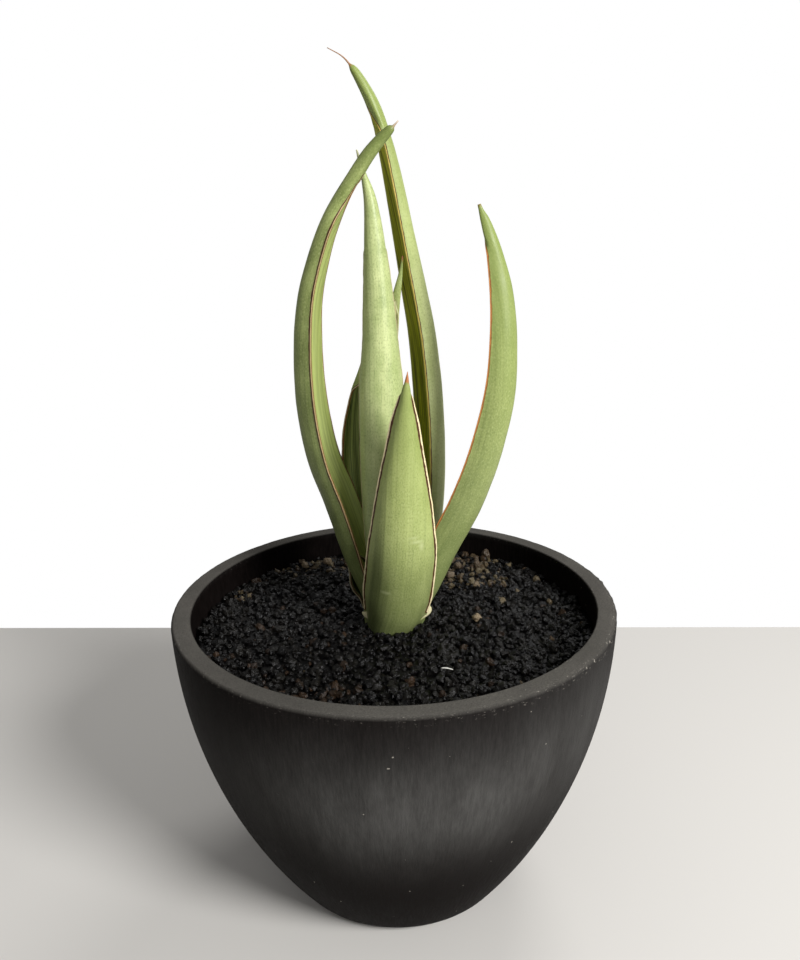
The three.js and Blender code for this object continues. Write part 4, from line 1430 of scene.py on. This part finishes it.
@dataclass
class OldLeafBase:
    """What is left of an old leaf: a thin half collar round the front leaf's foot, torn off so low that only
    a pale curled ear shows at each side. Sizes are in millimetres."""

    finish: Finish
    depth: float = 11.2
    thick: float = 1.5
    middle: tuple[float, float] = (0.9, -13)
    foot: float = -13.0
    torn: float = -5.0  # height of the torn edge in front, from the dressing
    ears: Sequence[tuple[float, float]] = ((8.4, 2.3), (11.2, 3.0))  # left and right: height and how far they curl

    def half_width(self, height: float) -> float:
        """Half the front leaf's width at a height above the dressing."""
        share = min(max((height - 0.5) / 8, 0.0), 1.0)
        return 10.6 + 6.4 * share * share * (3 - 2 * share)

    def build(self) -> None:
        """Builds and dresses the collar."""
        around, high = 90, 26
        rows = []
        for k in range(around + 1):
            a = math.pi * k / around
            tall, curl = self.ears[0 if k < around / 2 else 1]
            end = abs(math.cos(a)) ** 9
            top = self.torn + (tall - self.torn) * end + 0.7 * noise.noise(Vector((k * 0.5, 2, 0)))
            row = []
            for layer in (0, 1):
                for share in np.linspace(layer, 1 - layer, high):
                    z = self.foot + (top - self.foot) * share
                    up = max(0.0, (z - 2) / (tall - 2))
                    bulge = curl * end * math.sin(min(up, 1.0) * 2.4) if up > 0 else 0.0
                    inset = layer * (self.thick + 0.85 * bulge)
                    out = self.half_width(z) + 0.3 + bulge - inset
                    wrinkle = 0.35 * up * noise.noise(Vector((k * 0.5, z * 0.45, 5)))
                    x, y = -(out + wrinkle) * math.cos(a), -(self.depth + 0.6 - inset) * math.sin(a)
                    row.append((self.middle[0] + x, self.middle[1] + y, DRESSING + z))
            rows.append(row)
        mesh = loft(np.array(rows)[::-1], "old_leaf_base")
        z = np.array([v.co.z for v in mesh.vertices]) / MM - DRESSING
        turn = np.repeat(np.arange(around + 1)[::-1], 2 * high)
        store(mesh, "blade", np.stack([turn * 0.5, z, np.full(len(z), 150.0)], -1))
        store(mesh, "edge", np.full(len(z), 5.0))
        store(mesh, "dry", np.clip((z - 4) / 2.5, 0, 1))
        mesh.materials.append(self.finish.material())
        piece("old_leaf_collar", mesh, ["old_leaf_base"])


@dataclass
class Hidden:
    """The solids that the dressing hides. They keep their CAD shape and get a finish of their own."""

    finishes: dict[str, Finish] = field(
        default_factory=lambda: {
            "potting_mix": Earth("bark and coir mix"),
            "rhizome": Earth("corky rhizome", "#9c7440", "#c9a468", 1.5),
        }
    )

    def build(self) -> None:
        """Dresses the hidden CAD nodes."""
        for name, finish in self.finishes.items():
            shown = frame["nodes"][name]
            shown.data.materials.clear()
            shown.data.materials.append(finish.material())
            log.info("%s keeps its CAD shape", name)


@dataclass
class Studio:
    """Pale floor, soft lights and the camera. Places are in metres."""

    eye: Point = (0.0, -0.425, 0.3715)
    pitch: float = -16.63
    yaw: float = 0.63
    roll: float = -1.07
    lens: float = 30.0
    lights: Sequence[tuple[Point, float, float]] = (
        ((1.0, -1.05, 1.1), 0.6, 38.0),
        ((0.7, 1.2, 1.6), 0.9, 12.0),
        ((-0.6, -1.4, 1.2), 1.2, 1.5),
    )
    aim: Point = (0.0, 0.0, 0.2)
    ambient: float = 0.28
    floor_corners: Sequence[Point] = ((-0.9, -0.9, 0), (0.9, -0.9, 0), (0.9, 0.258, 0), (-0.9, 0.346, 0))

    def camera(self) -> None:
        """Sets up the camera."""
        lens = bpy.data.cameras.new("camera")
        lens.lens, lens.sensor_width = self.lens, 36.0
        seen = bpy.data.objects.new("camera", lens)
        bpy.context.scene.collection.objects.link(seen)
        pitch, yaw, roll = (math.radians(a) for a in (self.pitch, self.yaw, self.roll))
        ahead = Vector((math.sin(yaw) * math.cos(pitch), math.cos(yaw) * math.cos(pitch), math.sin(pitch)))
        level = Vector((math.cos(yaw), -math.sin(yaw), 0))
        above = level.cross(ahead)
        right = level * math.cos(roll) + above * math.sin(roll)
        up = above * math.cos(roll) - level * math.sin(roll)
        turned = Matrix((right, up, -ahead)).transposed().to_4x4()
        seen.matrix_world = Matrix.Translation(self.eye) @ turned
        bpy.context.scene.camera = seen

    def light(self) -> None:
        """Sets up the soft lights and the even surround, which looks white and lights the plant less."""
        for k, (place, size, power) in enumerate(self.lights):
            lamp = bpy.data.lights.new(f"soft light {k + 1}", "AREA")
            lamp.shape, lamp.size, lamp.energy = "DISK", size, power
            held = bpy.data.objects.new(lamp.name, lamp)
            bpy.context.scene.collection.objects.link(held)
            held.location = place
            held.rotation_euler = (Vector(self.aim) - Vector(place)).to_track_quat("-Z", "Y").to_euler()
        world = bpy.data.worlds.new("surround")
        bpy.context.scene.world = world
        world.use_nodes = True
        tree = world.node_tree
        tree.nodes.clear()
        seen = add(tree, "ShaderNodeLightPath").outputs["Is Camera Ray"]
        strength = add(tree, "ShaderNodeMapRange", {0: seen, 3: self.ambient, 4: 1.0}).outputs[0]
        surround = add(tree, "ShaderNodeBackground", {"Color": (1, 1, 1, 1), "Strength": strength})
        add(tree, "ShaderNodeOutputWorld", {"Surface": surround.outputs[0]})
        bpy.context.scene.view_settings.view_transform = "Standard"

    def floor(self) -> None:
        """Lays the floor."""
        mesh = bpy.data.meshes.new("floor")
        mesh.from_pydata(self.floor_corners, [], [(0, 1, 2, 3)])
        mesh.materials.append(Plain("pale board").material())
        laid = bpy.data.objects.new("floor", mesh)
        bpy.context.scene.collection.objects.link(laid)

    def build(self) -> None:
        """Sets up the studio."""
        self.camera()
        self.light()
        self.floor()


def main() -> None:
    """Builds the studio, the planter, its dressing and the plant, in that order."""
    logging.basicConfig(level=logging.INFO, format="%(name)s: %(message)s")
    Studio().build()
    Planter(finish=MouldedComposite("moulded composite, rubbed matt")).build()
    Dressing(
        grit=Grit("crushed lava"),
        pumice=Grit("pumice", dark="#3a3026", grey="#80715a", pore_mm=0.9),
        pale_areas=((52, 62, 24, 0.5), (60, 88, 14, 0.6), (-52, 84, 20, 0.45), (-100, 38, 8, 0.5)),
        rusty_areas=((-38, -98, 26, 0.5), (-70, -60, 20, 0.15), (40, -80, 18, 0.12)),
        stones=(
            (64, 88, (6, 5, 8), 20), (56, 74, (5, 4.5, 4.5), 75), (43, 71, (5.5, 5, 5), 130),
            (37, 57, (6, 4.5, 4.5), 10), (52, 38, (5.5, 4, 5), 50), (-45, 84, (6, 5, 5.5), 160),
            (-60, 80, (8, 4, 4), 115), (47, -9, (5.5, 5, 4.5), 35),
        ),
    ).build()
    for leaf in LEAVES:
        leaf.build()
    OldLeafBase(SheathSkin("torn leaf base", fresh="#7f8d45", papery="#c2bb94")).build()
    Hidden().build()


if __name__ == "__main__":
    main()
